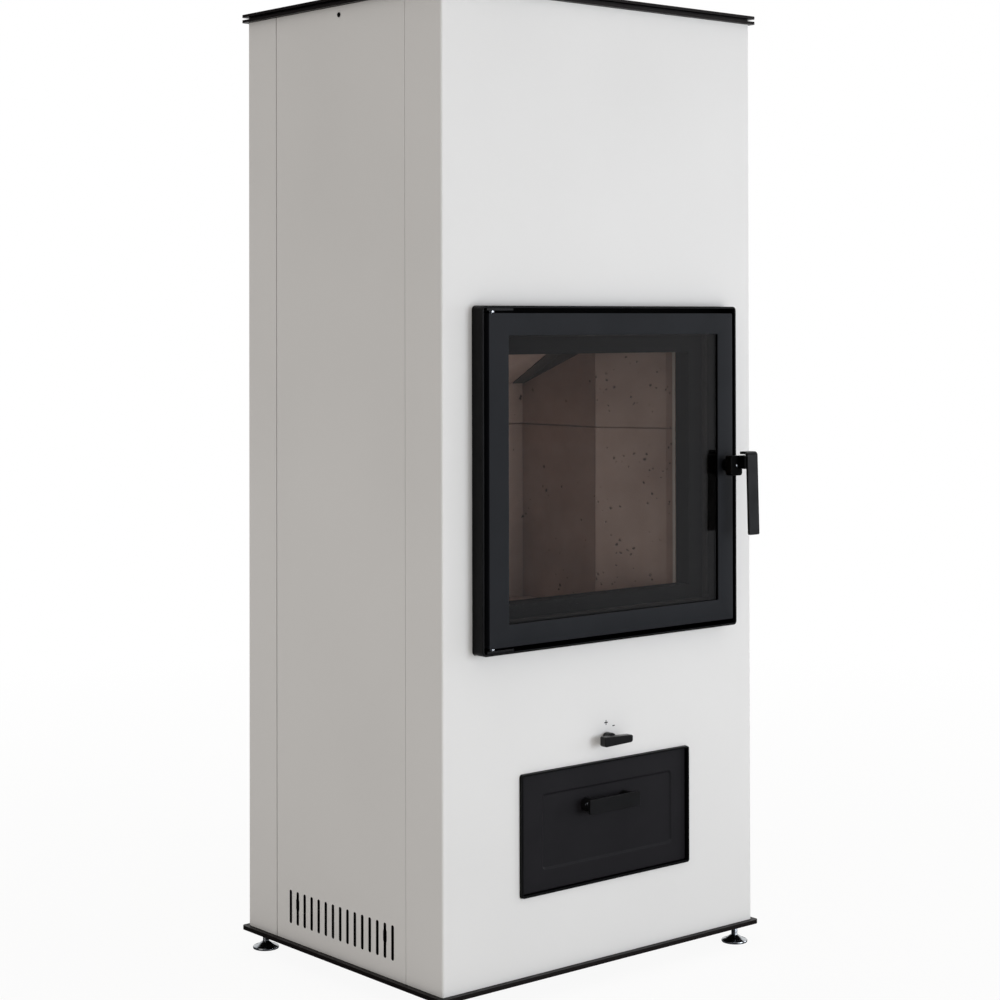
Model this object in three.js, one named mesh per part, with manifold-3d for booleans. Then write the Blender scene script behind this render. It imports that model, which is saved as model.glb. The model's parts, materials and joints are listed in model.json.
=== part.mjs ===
// Free-standing wood stove clad in painted sheet steel, with a glazed fire door,
// an ash drawer, an air control and heat-storing stones round its flue.
// Millimetres. +Z is up, the door faces -Y, and the floor is z = 0.
import * as THREE from "three";
import { mergeVertices } from "three/addons/utils/BufferGeometryUtils.js";
import Module from "manifold-3d";

const wasm = await Module();
wasm.setup();

// ---------------------------------------------------------------- driving dimensions

const GAP = 0.3;

const CASING_WIDTH = 600;
const CASING_DEPTH = 468;
const CASING_HEIGHT = 1361;
const CASING_SHEET = 2;
const CASING_CORNER = 3;
const FRONT_WRAP = 80.3;
const REAR_WRAP = 74.1;
const FRONT_SEAM = 0.6;
const REAR_SEAM = 1.8;
const SEAM_FLANGE = 14;

const FOOT_HEIGHT = 28;
const FOOT_RADIUS = 19.5;
const FOOT_STUD_RADIUS = 4.8;
const FOOT_INSET_X = 19.3;
const FOOT_INSET_Y = 17;

const BASE_THICKNESS = 6;
const TOP_PLATE = 4;
const TOP_GAP = 4;
const PLATE_OVERHANG = 8;
const PLATE_CORNER = 6;

const SLOT_COUNT = 15;
const SLOT_PITCH = 17.6;
const SLOT_WIDTH = 5;
const SLOT_HEIGHT = 49;
const SLOT_FOOT = 26;
const HOOK_SLOTS = [1, 13];
const HOOK_WIDTH = 8.4;
const HOOK_HEIGHT = 18;

const DOOR_BOTTOM = 454.4;
const DOOR_TOP = 930.4;
const DOOR_HALF_WIDTH = 247;
const DOOR_PROUD = 22;
const DOOR_RIM = 3;
const DOOR_RIM_CORNER = 6;

const LEAF_LEFT = -235;
const LEAF_RIGHT = 239;
const LEAF_BOTTOM = 464;
const LEAF_TOP = 920.5;
const LEAF_BACK = 2;
const LEAF_CORNER = 1.5;
const WINDOW_LEFT = -200;
const WINDOW_RIGHT = 208;
const WINDOW_BOTTOM = 494.5;
const WINDOW_TOP = 889.8;
const WINDOW_RECESS = 1.5;
const GLASS_THICKNESS = 4;
const GLASS_LAP = 6.7;

const HINGE_X = -226;
const HINGE_DEPTH = -14;
const HINGE_PIN_RADIUS = 3;

const LATCH_X = 224;
const LATCH_HEIGHT = 694.3;
const LATCH_SHAFT_RADIUS = 5;
const LATCH_CAM_REACH = 15.2;
const HUB_HALF_WIDTH = 12;
const HUB_HALF_HEIGHT = 14.8;
const HUB_CORNER = 4;
const HUB_FRONT = -45;
const HUB_BACK = -33;
const HUB_NECK_RADIUS = 9;
const GRIP_LEFT = 231.9;
const GRIP_RIGHT = 253.1;
const GRIP_THICKNESS = 3.8;
const GRIP_CORNER = 2.5;
const GRIP_TOP = 715;
const GRIP_BOTTOM = 592;
const GRIP_FRONT_TOP = -60;
const GRIP_FRONT_BOTTOM = -63.4;
const GRIP_RETURN = 16;
const GRIP_BEND = 6;
const ARM_X = [228, 251];
const ARM_DEPTH = [-57.6, -38];
const ARM_HEIGHT = [689.7, 708.9];

const FIREBOX_HALF_WIDTH = 126;
const FIREBOX_FRONT_HALF_WIDTH = 180;
const FIREBOX_FRONT = 42;
const CHEEK_LIP_BACK = 61;
const CHEEK_BACK = 159.7;
const FIREBOX_BACK = 329;
const LINING = 30;
const LINING_JOINT = 748;
const LINING_JOINT_WIDTH = 1.2;
const LINING_JOINT_DEPTH = 6;
const THROAT_BOTTOM = 517;
const THROAT_TOP = 863;
const THROAT_BACK = 40.5;
const FRAME_FRONT = 14;
const FRAME_PLATE = 5;
const BAFFLE_BACK_HEIGHT = 812;
const BAFFLE_SLOPE = 0.51;
const BAFFLE_FRONT = 118;

const SHELL_HALF_WIDTH = 222;
const SHELL_BACK = 404;
const SHELL_SHEET = 4;
const SHELL_FLOOR = 440;
const SHELL_TOP = 989;
const GRATE_CENTRE = 230;
const GRATE_HALF = 80;
const HEARTH_THICKNESS = 29.7;

const PEDESTAL_HALF_WIDTH = 180;
const PEDESTAL_FRONT = 12.5;
const PEDESTAL_BACK = 400;
const PEDESTAL_SHEET = 3;

const DRAWER_HALF_WIDTH = 163;
const DRAWER_BOTTOM = 110;
const DRAWER_TOP = 281;
const DRAWER_PROUD = 5;
const DRAWER_WALL = 3;
const TRAY_HALF_WIDTH = 150;
const TRAY_LENGTH = 360;
const TRAY_BOTTOM = 120;
const TRAY_TOP = 215;
const RUNNER_HEIGHT = 208;

const AIR_HEIGHT = 312;
const AIR_KNOB_RADIUS = 9.7;
const AIR_KNOB_TIP_RADIUS = 6.5;
const AIR_KNOB_TIP = 24;
const AIR_KNOB_FRONT = -24;
const AIR_SPINDLE_RADIUS = 4;
const REGISTER_RADIUS = 28;
const REGISTER_PORTS = 4;
const REGISTER_PORT_DEGREES = 44;

const FLUE_RADIUS = 75;
const FLUE_WALL = 2;
const FLUE_DEPTH = 234;
const FLUE_STUB = 45;
const STONE_COUNT = 3;
const STONE_HEIGHT = 115;
const SPIGOT_RADIUS = 50;
const SPIGOT_HEIGHT = 150;
const SPIGOT_REACH = 30;

// ---------------------------------------------------------------- places worked out from them

const FACE = (-GRIP_FRONT_BOTTOM - CASING_DEPTH - SPIGOT_REACH) / 2;
const SILL = FOOT_HEIGHT + BASE_THICKNESS;
const SIDE = CASING_WIDTH / 2;

// A depth is measured back from the casing's front face, a height up from its lower edge.
const deep = (depth) => FACE + depth;
const high = (height) => SILL + height;

// ---------------------------------------------------------------- materials

function paint(color, roughness, metalness) {
  return new THREE.MeshStandardMaterial({ color, roughness, metalness });
}

const WHITE_STEEL = paint(0xdcdad6, 0.45, 0.1);
const BLACK_STEEL = paint(0x1c1c1e, 0.5, 0.3);
const DOOR_STEEL = paint(0x2b2c2f, 0.5, 0.3);
const RAW_STEEL = paint(0x55565a, 0.6, 0.7);
const BRIGHT_STEEL = paint(0xc4c6c8, 0.25, 0.9);
const CAST_IRON = paint(0x303030, 0.7, 0.5);
const REFRACTORY = paint(0xb7a58d, 0.95, 0);
const STONE = paint(0x9a948a, 0.95, 0);
const ROPE = paint(0x2e2d2b, 1, 0);
const GLASS = paint(0x8a8f90, 0.05, 0);

// ---------------------------------------------------------------- geometry tools

function solid(geometry) {
  const bare = geometry.clone();
  bare.deleteAttribute("normal");
  bare.deleteAttribute("uv");
  const merged = mergeVertices(bare, 1e-4);
  const mesh = new wasm.Mesh({
    numProp: 3,
    vertProperties: Float32Array.from(merged.attributes.position.array),
    triVerts: Uint32Array.from(merged.index.array),
  });
  return new wasm.Manifold(mesh);
}

function geometryOf(body) {
  const mesh = body.getMesh();
  const geometry = new THREE.BufferGeometry();
  geometry.setAttribute("position", new THREE.BufferAttribute(mesh.vertProperties, 3));
  geometry.setIndex(new THREE.BufferAttribute(mesh.triVerts, 1));
  const faceted = geometry.toNonIndexed();
  faceted.computeVertexNormals();
  return faceted;
}

// Turns a geometry built along local Z so that it runs along the named axis:
// an outline in (x, z) runs along y, and an outline in (y, z) runs along x.
function turned(geometry, axis) {
  if (axis === "y") {
    geometry.rotateX(Math.PI / 2);
  }
  if (axis === "x") {
    const across = new THREE.Vector3(0, 1, 0);
    const upward = new THREE.Vector3(0, 0, 1);
    const along = new THREE.Vector3(1, 0, 0);
    geometry.applyMatrix4(new THREE.Matrix4().makeBasis(across, upward, along));
  }
  return geometry;
}

function block([x0, x1], [y0, y1], [z0, z1]) {
  const geometry = new THREE.BoxGeometry(x1 - x0, y1 - y0, z1 - z0);
  geometry.translate((x0 + x1) / 2, (y0 + y1) / 2, (z0 + z1) / 2);
  return solid(geometry);
}

function prism(outline, axis, [from, to], curveSegments = 2) {
  const settings = { depth: to - from, bevelEnabled: false, curveSegments };
  const geometry = new THREE.ExtrudeGeometry(outline, settings);
  geometry.translate(0, 0, axis === "y" ? -to : from);
  return solid(turned(geometry, axis));
}

function rod(axis, [a, b], [from, to], radius, sides = 32) {
  const geometry = new THREE.CylinderGeometry(radius, radius, to - from, sides);
  geometry.rotateX(Math.PI / 2);
  geometry.translate(a, b, axis === "y" ? -(from + to) / 2 : (from + to) / 2);
  return solid(turned(geometry, axis));
}

function lathe(points, sides = 40) {
  const profile = points.map(([radius, height]) => new THREE.Vector2(radius, height));
  const geometry = new THREE.LatheGeometry(profile, sides);
  geometry.rotateX(Math.PI / 2);
  return solid(geometry);
}

function outline(points) {
  return new THREE.Shape(points.map(([a, b]) => new THREE.Vector2(a, b)));
}

function roundedOutline([a0, a1], [b0, b1], radius) {
  const shape = new THREE.Shape();
  shape.moveTo(a0 + radius, b0);
  shape.lineTo(a1 - radius, b0);
  shape.absarc(a1 - radius, b0 + radius, radius, -Math.PI / 2, 0);
  shape.absarc(a1 - radius, b1 - radius, radius, 0, Math.PI / 2);
  shape.absarc(a0 + radius, b1 - radius, radius, Math.PI / 2, Math.PI);
  shape.absarc(a0 + radius, b0 + radius, radius, Math.PI, Math.PI * 1.5);
  return shape;
}

// A frame of even width between a rounded outer outline and a smaller inner one.
function ring([a0, a1], [b0, b1], wall, radius, axis, span) {
  const outer = prism(roundedOutline([a0, a1], [b0, b1], radius), axis, span);
  const innerRadius = Math.max(radius - wall, 0.5);
  const inner = roundedOutline([a0 + wall, a1 - wall], [b0 + wall, b1 - wall], innerRadius);
  return outer.subtract(prism(inner, axis, [span[0] - 1, span[1] + 1]));
}

function cut(body, ...tools) {
  return tools.reduce((rest, tool) => rest.subtract(tool), body);
}

function join(body, ...others) {
  return others.reduce((sum, other) => sum.add(other), body);
}

// ---------------------------------------------------------------- scene groups

const stove = new THREE.Group();

// A group that turns or slides about its pivot; its pieces are drawn in the stove's frame.
function movingGroup(x, y, z) {
  const group = new THREE.Group();
  group.position.set(x, y, z);
  stove.add(group);
  return group;
}

function piece(group, name, body, material) {
  const mesh = new THREE.Mesh(geometryOf(body), material);
  mesh.name = name;
  mesh.position.copy(group.position).negate();
  group.add(mesh);
  return mesh;
}

const fixed = (name, body, material) => piece(stove, name, body, material);

// ---------------------------------------------------------------- base and levelling feet

const FOOT_X = SIDE - FOOT_INSET_X;
const FOOT_Y = { front: deep(FOOT_INSET_Y), rear: deep(CASING_DEPTH - FOOT_INSET_Y) };
const FOOT_SIDE = { left: -1, right: 1 };

function plateOutline() {
  const x = [-SIDE - PLATE_OVERHANG, SIDE + PLATE_OVERHANG];
  const y = [deep(-PLATE_OVERHANG), deep(CASING_DEPTH + PLATE_OVERHANG)];
  return roundedOutline(x, y, PLATE_CORNER);
}

function basePlate() {
  const nutRadius = 9.5;
  const nutHeight = 8;
  let plate = prism(plateOutline(), "z", [FOOT_HEIGHT, SILL]);
  for (const side of Object.values(FOOT_SIDE)) {
    for (const y of Object.values(FOOT_Y)) {
      const place = [side * FOOT_X, y];
      plate = join(plate, rod("z", place, [FOOT_HEIGHT + 1, SILL + nutHeight], nutRadius, 6));
      plate = cut(plate, rod("z", place, [0, SILL + 20], FOOT_STUD_RADIUS + 0.4, 16));
    }
  }
  return plate;
}

function levellingFoot() {
  const rim = 3;
  const coneTop = 10;
  const neck = FOOT_STUD_RADIUS + 0.7;
  return lathe([
    [0, 0],
    [FOOT_RADIUS - 1, 0],
    [FOOT_RADIUS, 1],
    [FOOT_RADIUS, rim],
    [neck + 4, coneTop - 2],
    [neck, coneTop],
    [FOOT_STUD_RADIUS, coneTop + 1.5],
    [FOOT_STUD_RADIUS, SILL + 16],
    [0, SILL + 16],
  ], 24);
}

fixed("base_plate", basePlate(), BLACK_STEEL);
for (const [end, y] of Object.entries(FOOT_Y)) {
  for (const [name, side] of Object.entries(FOOT_SIDE)) {
    const foot = movingGroup(side * FOOT_X, y, 0);
    const mesh = piece(foot, `levelling_foot_${end}_${name}`, levellingFoot(), BRIGHT_STEEL);
    mesh.position.set(0, 0, 0);
  }
}

// ---------------------------------------------------------------- pedestal and ash system

// One ring of kidney-shaped ports round the air spindle, as a cutting body.
function registerPorts([from, to]) {
  const inner = 10.5;
  const outer = 23;
  const half = THREE.MathUtils.degToRad(REGISTER_PORT_DEGREES / 2);
  const ports = [];
  for (let index = 0; index < REGISTER_PORTS; index += 1) {
    const middle = (index + 0.5) * Math.PI * 2 / REGISTER_PORTS;
    const port = new THREE.Shape();
    port.absarc(0, 0, outer, middle - half, middle + half, false);
    port.absarc(0, 0, inner, middle + half, middle - half, true);
    ports.push(prism(port, "y", [from, to]).translate([0, 0, high(AIR_HEIGHT)]));
  }
  return join(...ports);
}

function pedestal() {
  const x = PEDESTAL_HALF_WIDTH;
  const front = deep(PEDESTAL_FRONT + PEDESTAL_SHEET + GAP);
  const back = deep(PEDESTAL_BACK);
  const body = block([-x, x], [front, back], [high(GAP), high(SHELL_FLOOR - GAP)]);
  const inner = x - PEDESTAL_SHEET;
  const room = block([-inner, inner], [front - 5, back - PEDESTAL_SHEET], [0, high(SHELL_FLOOR + 5)]);
  const intake = rod("y", [0, high(SPIGOT_HEIGHT)], [back - 10, back + 5], SPIGOT_RADIUS + 0.6, 32);
  return cut(body, room, intake);
}

function frontFrame() {
  const x = PEDESTAL_HALF_WIDTH;
  const y = [deep(PEDESTAL_FRONT), deep(PEDESTAL_FRONT + PEDESTAL_SHEET)];
  const through = [y[0] - 1, y[1] + 1];
  const plate = block([-x, x], y, [high(GAP), high(SHELL_FLOOR - 0.1)]);
  const inner = DRAWER_HALF_WIDTH - DRAWER_WALL;
  const opening = block([-inner, inner], through, [high(DRAWER_BOTTOM + 3), high(DRAWER_TOP - 3)]);
  const spindle = rod("y", [0, high(AIR_HEIGHT)], through, AIR_SPINDLE_RADIUS + 0.5, 24);
  return cut(plate, opening, spindle, registerPorts(through));
}

function drawerSurround() {
  const x = [-DRAWER_HALF_WIDTH, DRAWER_HALF_WIDTH];
  const z = [high(DRAWER_BOTTOM), high(DRAWER_TOP)];
  return ring(x, z, DRAWER_WALL, 4, "y", [deep(-DRAWER_PROUD), deep(PEDESTAL_FRONT - GAP)]);
}

// An L-shaped rail on the pedestal's wall, whose shelf carries the tray's lip.
function drawerRail(side) {
  const wall = side * (PEDESTAL_HALF_WIDTH - PEDESTAL_SHEET - GAP);
  const shelf = side * (TRAY_HALF_WIDTH + 1.5);
  const top = high(RUNNER_HEIGHT);
  const rail = outline([
    [wall, top + 12],
    [wall, top - 3],
    [shelf, top - 3],
    [shelf, top],
    [wall - side * 2, top],
    [wall - side * 2, top + 12],
  ]);
  return prism(rail, "y", [deep(PEDESTAL_FRONT + PEDESTAL_SHEET + 1), deep(390)]);
}

// A square block round the grate's centre, wider at its top than at its foot.
function taperedBlock(topHalf, bottomHalf, [z0, z1]) {
  const geometry = new THREE.BoxGeometry(2, 2, z1 - z0);
  geometry.translate(0, 0, (z0 + z1) / 2);
  const position = geometry.attributes.position;
  for (let index = 0; index < position.count; index += 1) {
    const half = position.getZ(index) > (z0 + z1) / 2 ? topHalf : bottomHalf;
    position.setX(index, position.getX(index) * half);
    position.setY(index, position.getY(index) * half);
  }
  geometry.translate(0, deep(GRATE_CENTRE), 0);
  return solid(geometry);
}

// A square funnel that carries the ash from the grate down to the tray.
function ashChute() {
  const top = 100;
  const bottom = 76;
  const sheet = 2;
  const z = [high(TRAY_TOP + 10), high(SHELL_FLOOR - GAP)];
  const flare = (top - bottom) / (z[1] - z[0]);
  const boreSpan = [z[0] - 1, z[1] + 1];
  const bore = taperedBlock(top - sheet + flare, bottom - sheet - flare, boreSpan);
  return cut(taperedBlock(top, bottom, z), bore);
}

fixed("pedestal", pedestal(), RAW_STEEL);
fixed("front_frame", frontFrame(), RAW_STEEL);
fixed("drawer_surround", drawerSurround(), BLACK_STEEL);
fixed("drawer_rail_left", drawerRail(-1), RAW_STEEL);
fixed("drawer_rail_right", drawerRail(1), RAW_STEEL);
fixed("ash_chute", ashChute(), RAW_STEEL);

// ---------------------------------------------------------------- ash drawer

const PANEL_GAP = 1;
const PANEL_DEPTH = 6;
const PANEL_FRONT = 0.5;

function drawerFront() {
  const x = DRAWER_HALF_WIDTH - DRAWER_WALL - PANEL_GAP;
  const z = [high(DRAWER_BOTTOM + DRAWER_WALL + PANEL_GAP), high(DRAWER_TOP - DRAWER_WALL - PANEL_GAP)];
  const y = [deep(PANEL_FRONT), deep(PANEL_FRONT + PANEL_DEPTH)];
  const panel = prism(roundedOutline([-x, x], z, 2), "y", y);
  const pressed = roundedOutline([-120, 130], [high(143.5), high(247.5)], 4);
  return cut(panel, prism(pressed, "y", [y[0] - 1, y[0] + 3.5]));
}

function drawerTray() {
  const x = TRAY_HALF_WIDTH;
  const sheet = 1.5;
  const y = [deep(PANEL_FRONT + PANEL_DEPTH + GAP), deep(PANEL_FRONT + PANEL_DEPTH + TRAY_LENGTH)];
  const box = block([-x, x], y, [high(TRAY_BOTTOM), high(TRAY_TOP)]);
  const inner = x - sheet;
  const roomZ = [high(TRAY_BOTTOM + sheet), high(400)];
  const room = block([-inner, inner], [y[0] + sheet, y[1] - sheet], roomZ);
  const lipOuter = x + 9;
  const lipHeight = [high(RUNNER_HEIGHT + 0.4), high(RUNNER_HEIGHT + 2.4)];
  const lips = [-1, 1].map((side) => {
    const edges = [side * x, side * lipOuter].sort((a, b) => a - b);
    return block([edges[0] - 0.1, edges[1] + 0.1], y, lipHeight);
  });
  return cut(join(box, ...lips), room);
}

const POST_X = 37;
const POST_RADIUS = 10;
const PULL_SCREW_PLACE = [deep(-9.5), high(225.5)];

// A flat bar on two round posts, one of them with a grub screw in its side.
function drawerHandle() {
  const half = 49;
  const z = [high(212), high(233)];
  const bar = prism(roundedOutline([-half, half], z, 2), "y", [deep(-20), deep(-16)]);
  const middle = (z[0] + z[1]) / 2;
  const postSpan = [deep(-17), deep(PANEL_FRONT + 3.5 - GAP)];
  const posts = [-1, 1].map((side) => rod("y", [side * POST_X, middle], postSpan, POST_RADIUS, 24));
  const screwHole = rod("x", PULL_SCREW_PLACE, [-POST_X - 15, -POST_X], 2.8, 16);
  return cut(join(bar, ...posts), screwHole);
}

function drawerHandleScrew() {
  return rod("x", PULL_SCREW_PLACE, [-POST_X - POST_RADIUS - GAP, -POST_X - GAP], 2.4, 12);
}

const drawer = movingGroup(0, deep(PANEL_FRONT), high(RUNNER_HEIGHT));
piece(drawer, "drawer_front", drawerFront(), DOOR_STEEL);
piece(drawer, "drawer_tray", drawerTray(), RAW_STEEL);
piece(drawer, "drawer_handle", drawerHandle(), BLACK_STEEL);
piece(drawer, "drawer_handle_screw", drawerHandleScrew(), BRIGHT_STEEL);

// ---------------------------------------------------------------- air control

function airKnob() {
  const shape = new THREE.Shape();
  const lean = Math.acos((AIR_KNOB_RADIUS - AIR_KNOB_TIP_RADIUS) / AIR_KNOB_TIP);
  shape.absarc(0, 0, AIR_KNOB_RADIUS, lean, Math.PI * 2 - lean, false);
  shape.absarc(AIR_KNOB_TIP, 0, AIR_KNOB_TIP_RADIUS, -lean, lean, false);
  const span = [deep(AIR_KNOB_FRONT), deep(-1)];
  const lever = prism(shape, "y", span, 8).translate([0, 0, high(AIR_HEIGHT)]);
  const bore = rod("y", [0, high(AIR_HEIGHT)], [deep(-12), deep(0)], AIR_SPINDLE_RADIUS + 0.3, 24);
  return cut(lever, bore);
}

// The register disc is welded to the spindle that the knob is pressed onto.
function registerDisc() {
  const y = [deep(8.6), deep(11.4)];
  const place = [0, high(AIR_HEIGHT)];
  const disc = rod("y", place, y, REGISTER_RADIUS, 32);
  const spindle = rod("y", place, [deep(-11.7), deep(24)], AIR_SPINDLE_RADIUS, 24);
  return join(cut(disc, registerPorts([y[0] - 1, y[1] + 1])), spindle);
}

const airControl = movingGroup(0, deep(0), high(AIR_HEIGHT));
piece(airControl, "air_knob", airKnob(), BLACK_STEEL);
piece(airControl, "register_disc", registerDisc(), RAW_STEEL);

// ---------------------------------------------------------------- steel shell

function shellWrap() {
  const x = SHELL_HALF_WIDTH;
  const front = deep(FRAME_FRONT + FRAME_PLATE + GAP);
  const back = deep(SHELL_BACK);
  const z = [high(SHELL_FLOOR), high(SHELL_TOP - SHELL_SHEET - GAP)];
  const inner = x - SHELL_SHEET;
  const room = block([-inner, inner], [front - 5, back - SHELL_SHEET], [z[0] - 5, z[1] + 5]);
  return cut(block([-x, x], [front, back], z), room);
}

function shellFloor() {
  const x = SHELL_HALF_WIDTH - SHELL_SHEET - GAP;
  const y = [deep(FRAME_FRONT + FRAME_PLATE + GAP), deep(SHELL_BACK - SHELL_SHEET - GAP)];
  const plate = block([-x, x], y, [high(SHELL_FLOOR), high(SHELL_FLOOR + SHELL_SHEET)]);
  const half = GRATE_HALF - 5;
  const centre = deep(GRATE_CENTRE);
  const through = [high(SHELL_FLOOR - 1), high(SHELL_FLOOR + 9)];
  return cut(plate, block([-half, half], [centre - half, centre + half], through));
}

function shellTop() {
  const x = SHELL_HALF_WIDTH;
  const z = [high(SHELL_TOP - SHELL_SHEET), high(SHELL_TOP)];
  const plate = block([-x, x], [deep(FRAME_FRONT + FRAME_PLATE + GAP), deep(SHELL_BACK)], z);
  return cut(plate, rod("z", [0, deep(FLUE_DEPTH)], [z[0] - 1, z[1] + 1], FLUE_RADIUS + 0.6, 40));
}

// The plate that closes the shell's front, with the throat that the door shuts onto.
function doorFrame() {
  const y = [deep(FRAME_FRONT), deep(FRAME_FRONT + FRAME_PLATE)];
  const plate = block([-250, 250], y, [high(SHELL_FLOOR + GAP), high(SHELL_TOP)]);
  const x = FIREBOX_FRONT_HALF_WIDTH;
  const wall = 4;
  const span = [y[1] - 1, deep(THROAT_BACK)];
  const outer = block([-x - wall, x + wall], span, [high(THROAT_BOTTOM - wall), high(THROAT_TOP + wall)]);
  const hole = block([-x, x], [y[0] - 1, span[1] + 1], [high(THROAT_BOTTOM), high(THROAT_TOP)]);
  return cut(join(plate, outer), hole);
}

fixed("shell_wrap", shellWrap(), RAW_STEEL);
fixed("shell_floor", shellFloor(), RAW_STEEL);
fixed("shell_top", shellTop(), RAW_STEEL);
fixed("door_frame", doorFrame(), BLACK_STEEL);

// ---------------------------------------------------------------- firebox lining

const HEARTH_TOP = SHELL_FLOOR + SHELL_SHEET + GAP + HEARTH_THICKNESS;
const SIDE_BLOCK_BACK = FIREBOX_BACK + LINING;
const baffleUnderside = (depth) => BAFFLE_BACK_HEIGHT + (FIREBOX_BACK - depth) * BAFFLE_SLOPE;

function hearthBlock() {
  const x = SHELL_HALF_WIDTH - SHELL_SHEET - 0.6;
  const y = [deep(FIREBOX_FRONT), deep(SHELL_BACK - SHELL_SHEET - 0.6)];
  const slab = block([-x, x], y, [high(HEARTH_TOP - HEARTH_THICKNESS), high(HEARTH_TOP)]);
  const half = GRATE_HALF + 0.6;
  const centre = deep(GRATE_CENTRE);
  return cut(slab, block([-half, half], [centre - half, centre + half], [high(0), high(600)]));
}

function sillBlock() {
  const x = SHELL_HALF_WIDTH - SHELL_SHEET - 0.6;
  const y = [deep(FRAME_FRONT + FRAME_PLATE + 0.6), deep(FIREBOX_FRONT - 0.5)];
  return block([-x, x], y, [high(HEARTH_TOP - HEARTH_THICKNESS), high(THROAT_BOTTOM - 4.4)]);
}

function grate() {
  const bars = 8;
  const slot = 9;
  const pitch = 18;
  const rim = 14;
  const centre = deep(GRATE_CENTRE);
  const y = [centre - GRATE_HALF, centre + GRATE_HALF];
  const base = high(SHELL_FLOOR + SHELL_SHEET + GAP);
  const slots = [];
  for (let index = 0; index < bars - 1; index += 1) {
    const x = (index - (bars - 2) / 2) * pitch;
    const shape = roundedOutline([x - slot / 2, x + slot / 2], [y[0] + rim, y[1] - rim], slot / 2 - 0.1);
    slots.push(prism(shape, "z", [base - 1, base + 20], 1));
  }
  return cut(block([-GRATE_HALF, GRATE_HALF], y, [base, base + 16]), ...slots);
}

function sideBlock(side, [bottom, top]) {
  const inner = side * FIREBOX_HALF_WIDTH;
  const outer = side * (FIREBOX_HALF_WIDTH + LINING);
  const x = [Math.min(inner, outer), Math.max(inner, outer)];
  const front = CHEEK_BACK + GAP;
  const shape = top ?? baffleUnderside(front);
  const backTop = top ?? baffleUnderside(SIDE_BLOCK_BACK);
  const profile = outline([
    [deep(front), high(bottom)],
    [deep(SIDE_BLOCK_BACK), high(bottom)],
    [deep(SIDE_BLOCK_BACK), high(backTop)],
    [deep(front), high(shape)],
  ]);
  return prism(profile, "x", x);
}

function backBlock([bottom, top]) {
  const x = FIREBOX_HALF_WIDTH - GAP;
  const frontTop = top ?? baffleUnderside(FIREBOX_BACK);
  const backTop = top ?? baffleUnderside(SIDE_BLOCK_BACK);
  const profile = outline([
    [deep(FIREBOX_BACK), high(bottom)],
    [deep(SIDE_BLOCK_BACK), high(bottom)],
    [deep(SIDE_BLOCK_BACK), high(backTop)],
    [deep(FIREBOX_BACK), high(frontTop)],
  ]);
  return prism(profile, "x", [-x, x]);
}

// A cheek runs straight back from the throat's edge and then splays in to the side wall.
// A groove carries the joint between the rows of blocks on across it.
function cheekBlock(side) {
  const splay = FIREBOX_FRONT_HALF_WIDTH - FIREBOX_HALF_WIDTH;
  const run = CHEEK_BACK - CHEEK_LIP_BACK;
  const across = LINING * Math.hypot(splay, run) / run;
  const limit = SHELL_HALF_WIDTH - SHELL_SHEET - GAP;
  const clipped = CHEEK_LIP_BACK + (FIREBOX_FRONT_HALF_WIDTH + across - limit) * run / splay;
  const corners = [
    [FIREBOX_HALF_WIDTH, CHEEK_BACK],
    [FIREBOX_FRONT_HALF_WIDTH, CHEEK_LIP_BACK],
    [FIREBOX_FRONT_HALF_WIDTH, FIREBOX_FRONT],
    [limit, FIREBOX_FRONT],
    [limit, clipped],
    [FIREBOX_HALF_WIDTH + across, CHEEK_BACK],
  ];
  const plan = outline(corners.map(([x, depth]) => [side * x, deep(depth)]));
  const cheek = prism(plan, "z", [high(HEARTH_TOP + GAP), high(880)]);
  const slice = prism(plan, "z", [high(LINING_JOINT - LINING_JOINT_WIDTH), high(LINING_JOINT)]);
  return cut(cheek, cut(slice, cheek.translate([side * LINING_JOINT_DEPTH, 0, 0])));
}

function bafflePlate() {
  const x = FIREBOX_HALF_WIDTH + LINING;
  const rise = LINING * Math.hypot(1, BAFFLE_SLOPE);
  const under = (depth) => high(baffleUnderside(depth) + GAP + 0.1);
  const profile = outline([
    [deep(BAFFLE_FRONT), under(BAFFLE_FRONT)],
    [deep(SIDE_BLOCK_BACK), under(SIDE_BLOCK_BACK)],
    [deep(SIDE_BLOCK_BACK), under(SIDE_BLOCK_BACK) + rise],
    [deep(BAFFLE_FRONT), under(BAFFLE_FRONT) + rise],
  ]);
  return prism(profile, "x", [-x, x]);
}

const LOWER_ROW = [HEARTH_TOP + GAP, LINING_JOINT - LINING_JOINT_WIDTH];
const UPPER_ROW = [LINING_JOINT, null];
fixed("hearth_block", hearthBlock(), REFRACTORY);
fixed("sill_block", sillBlock(), REFRACTORY);
fixed("grate", grate(), CAST_IRON);
fixed("back_block_lower", backBlock(LOWER_ROW), REFRACTORY);
fixed("back_block_upper", backBlock(UPPER_ROW), REFRACTORY);
for (const [name, side] of Object.entries(FOOT_SIDE)) {
  fixed(`side_block_${name}_lower`, sideBlock(side, LOWER_ROW), REFRACTORY);
  fixed(`side_block_${name}_upper`, sideBlock(side, UPPER_ROW), REFRACTORY);
  fixed(`cheek_block_${name}`, cheekBlock(side), REFRACTORY);
}
fixed("baffle_plate", bafflePlate(), REFRACTORY);

// ---------------------------------------------------------------- flue, storing stones, air intake

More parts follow.
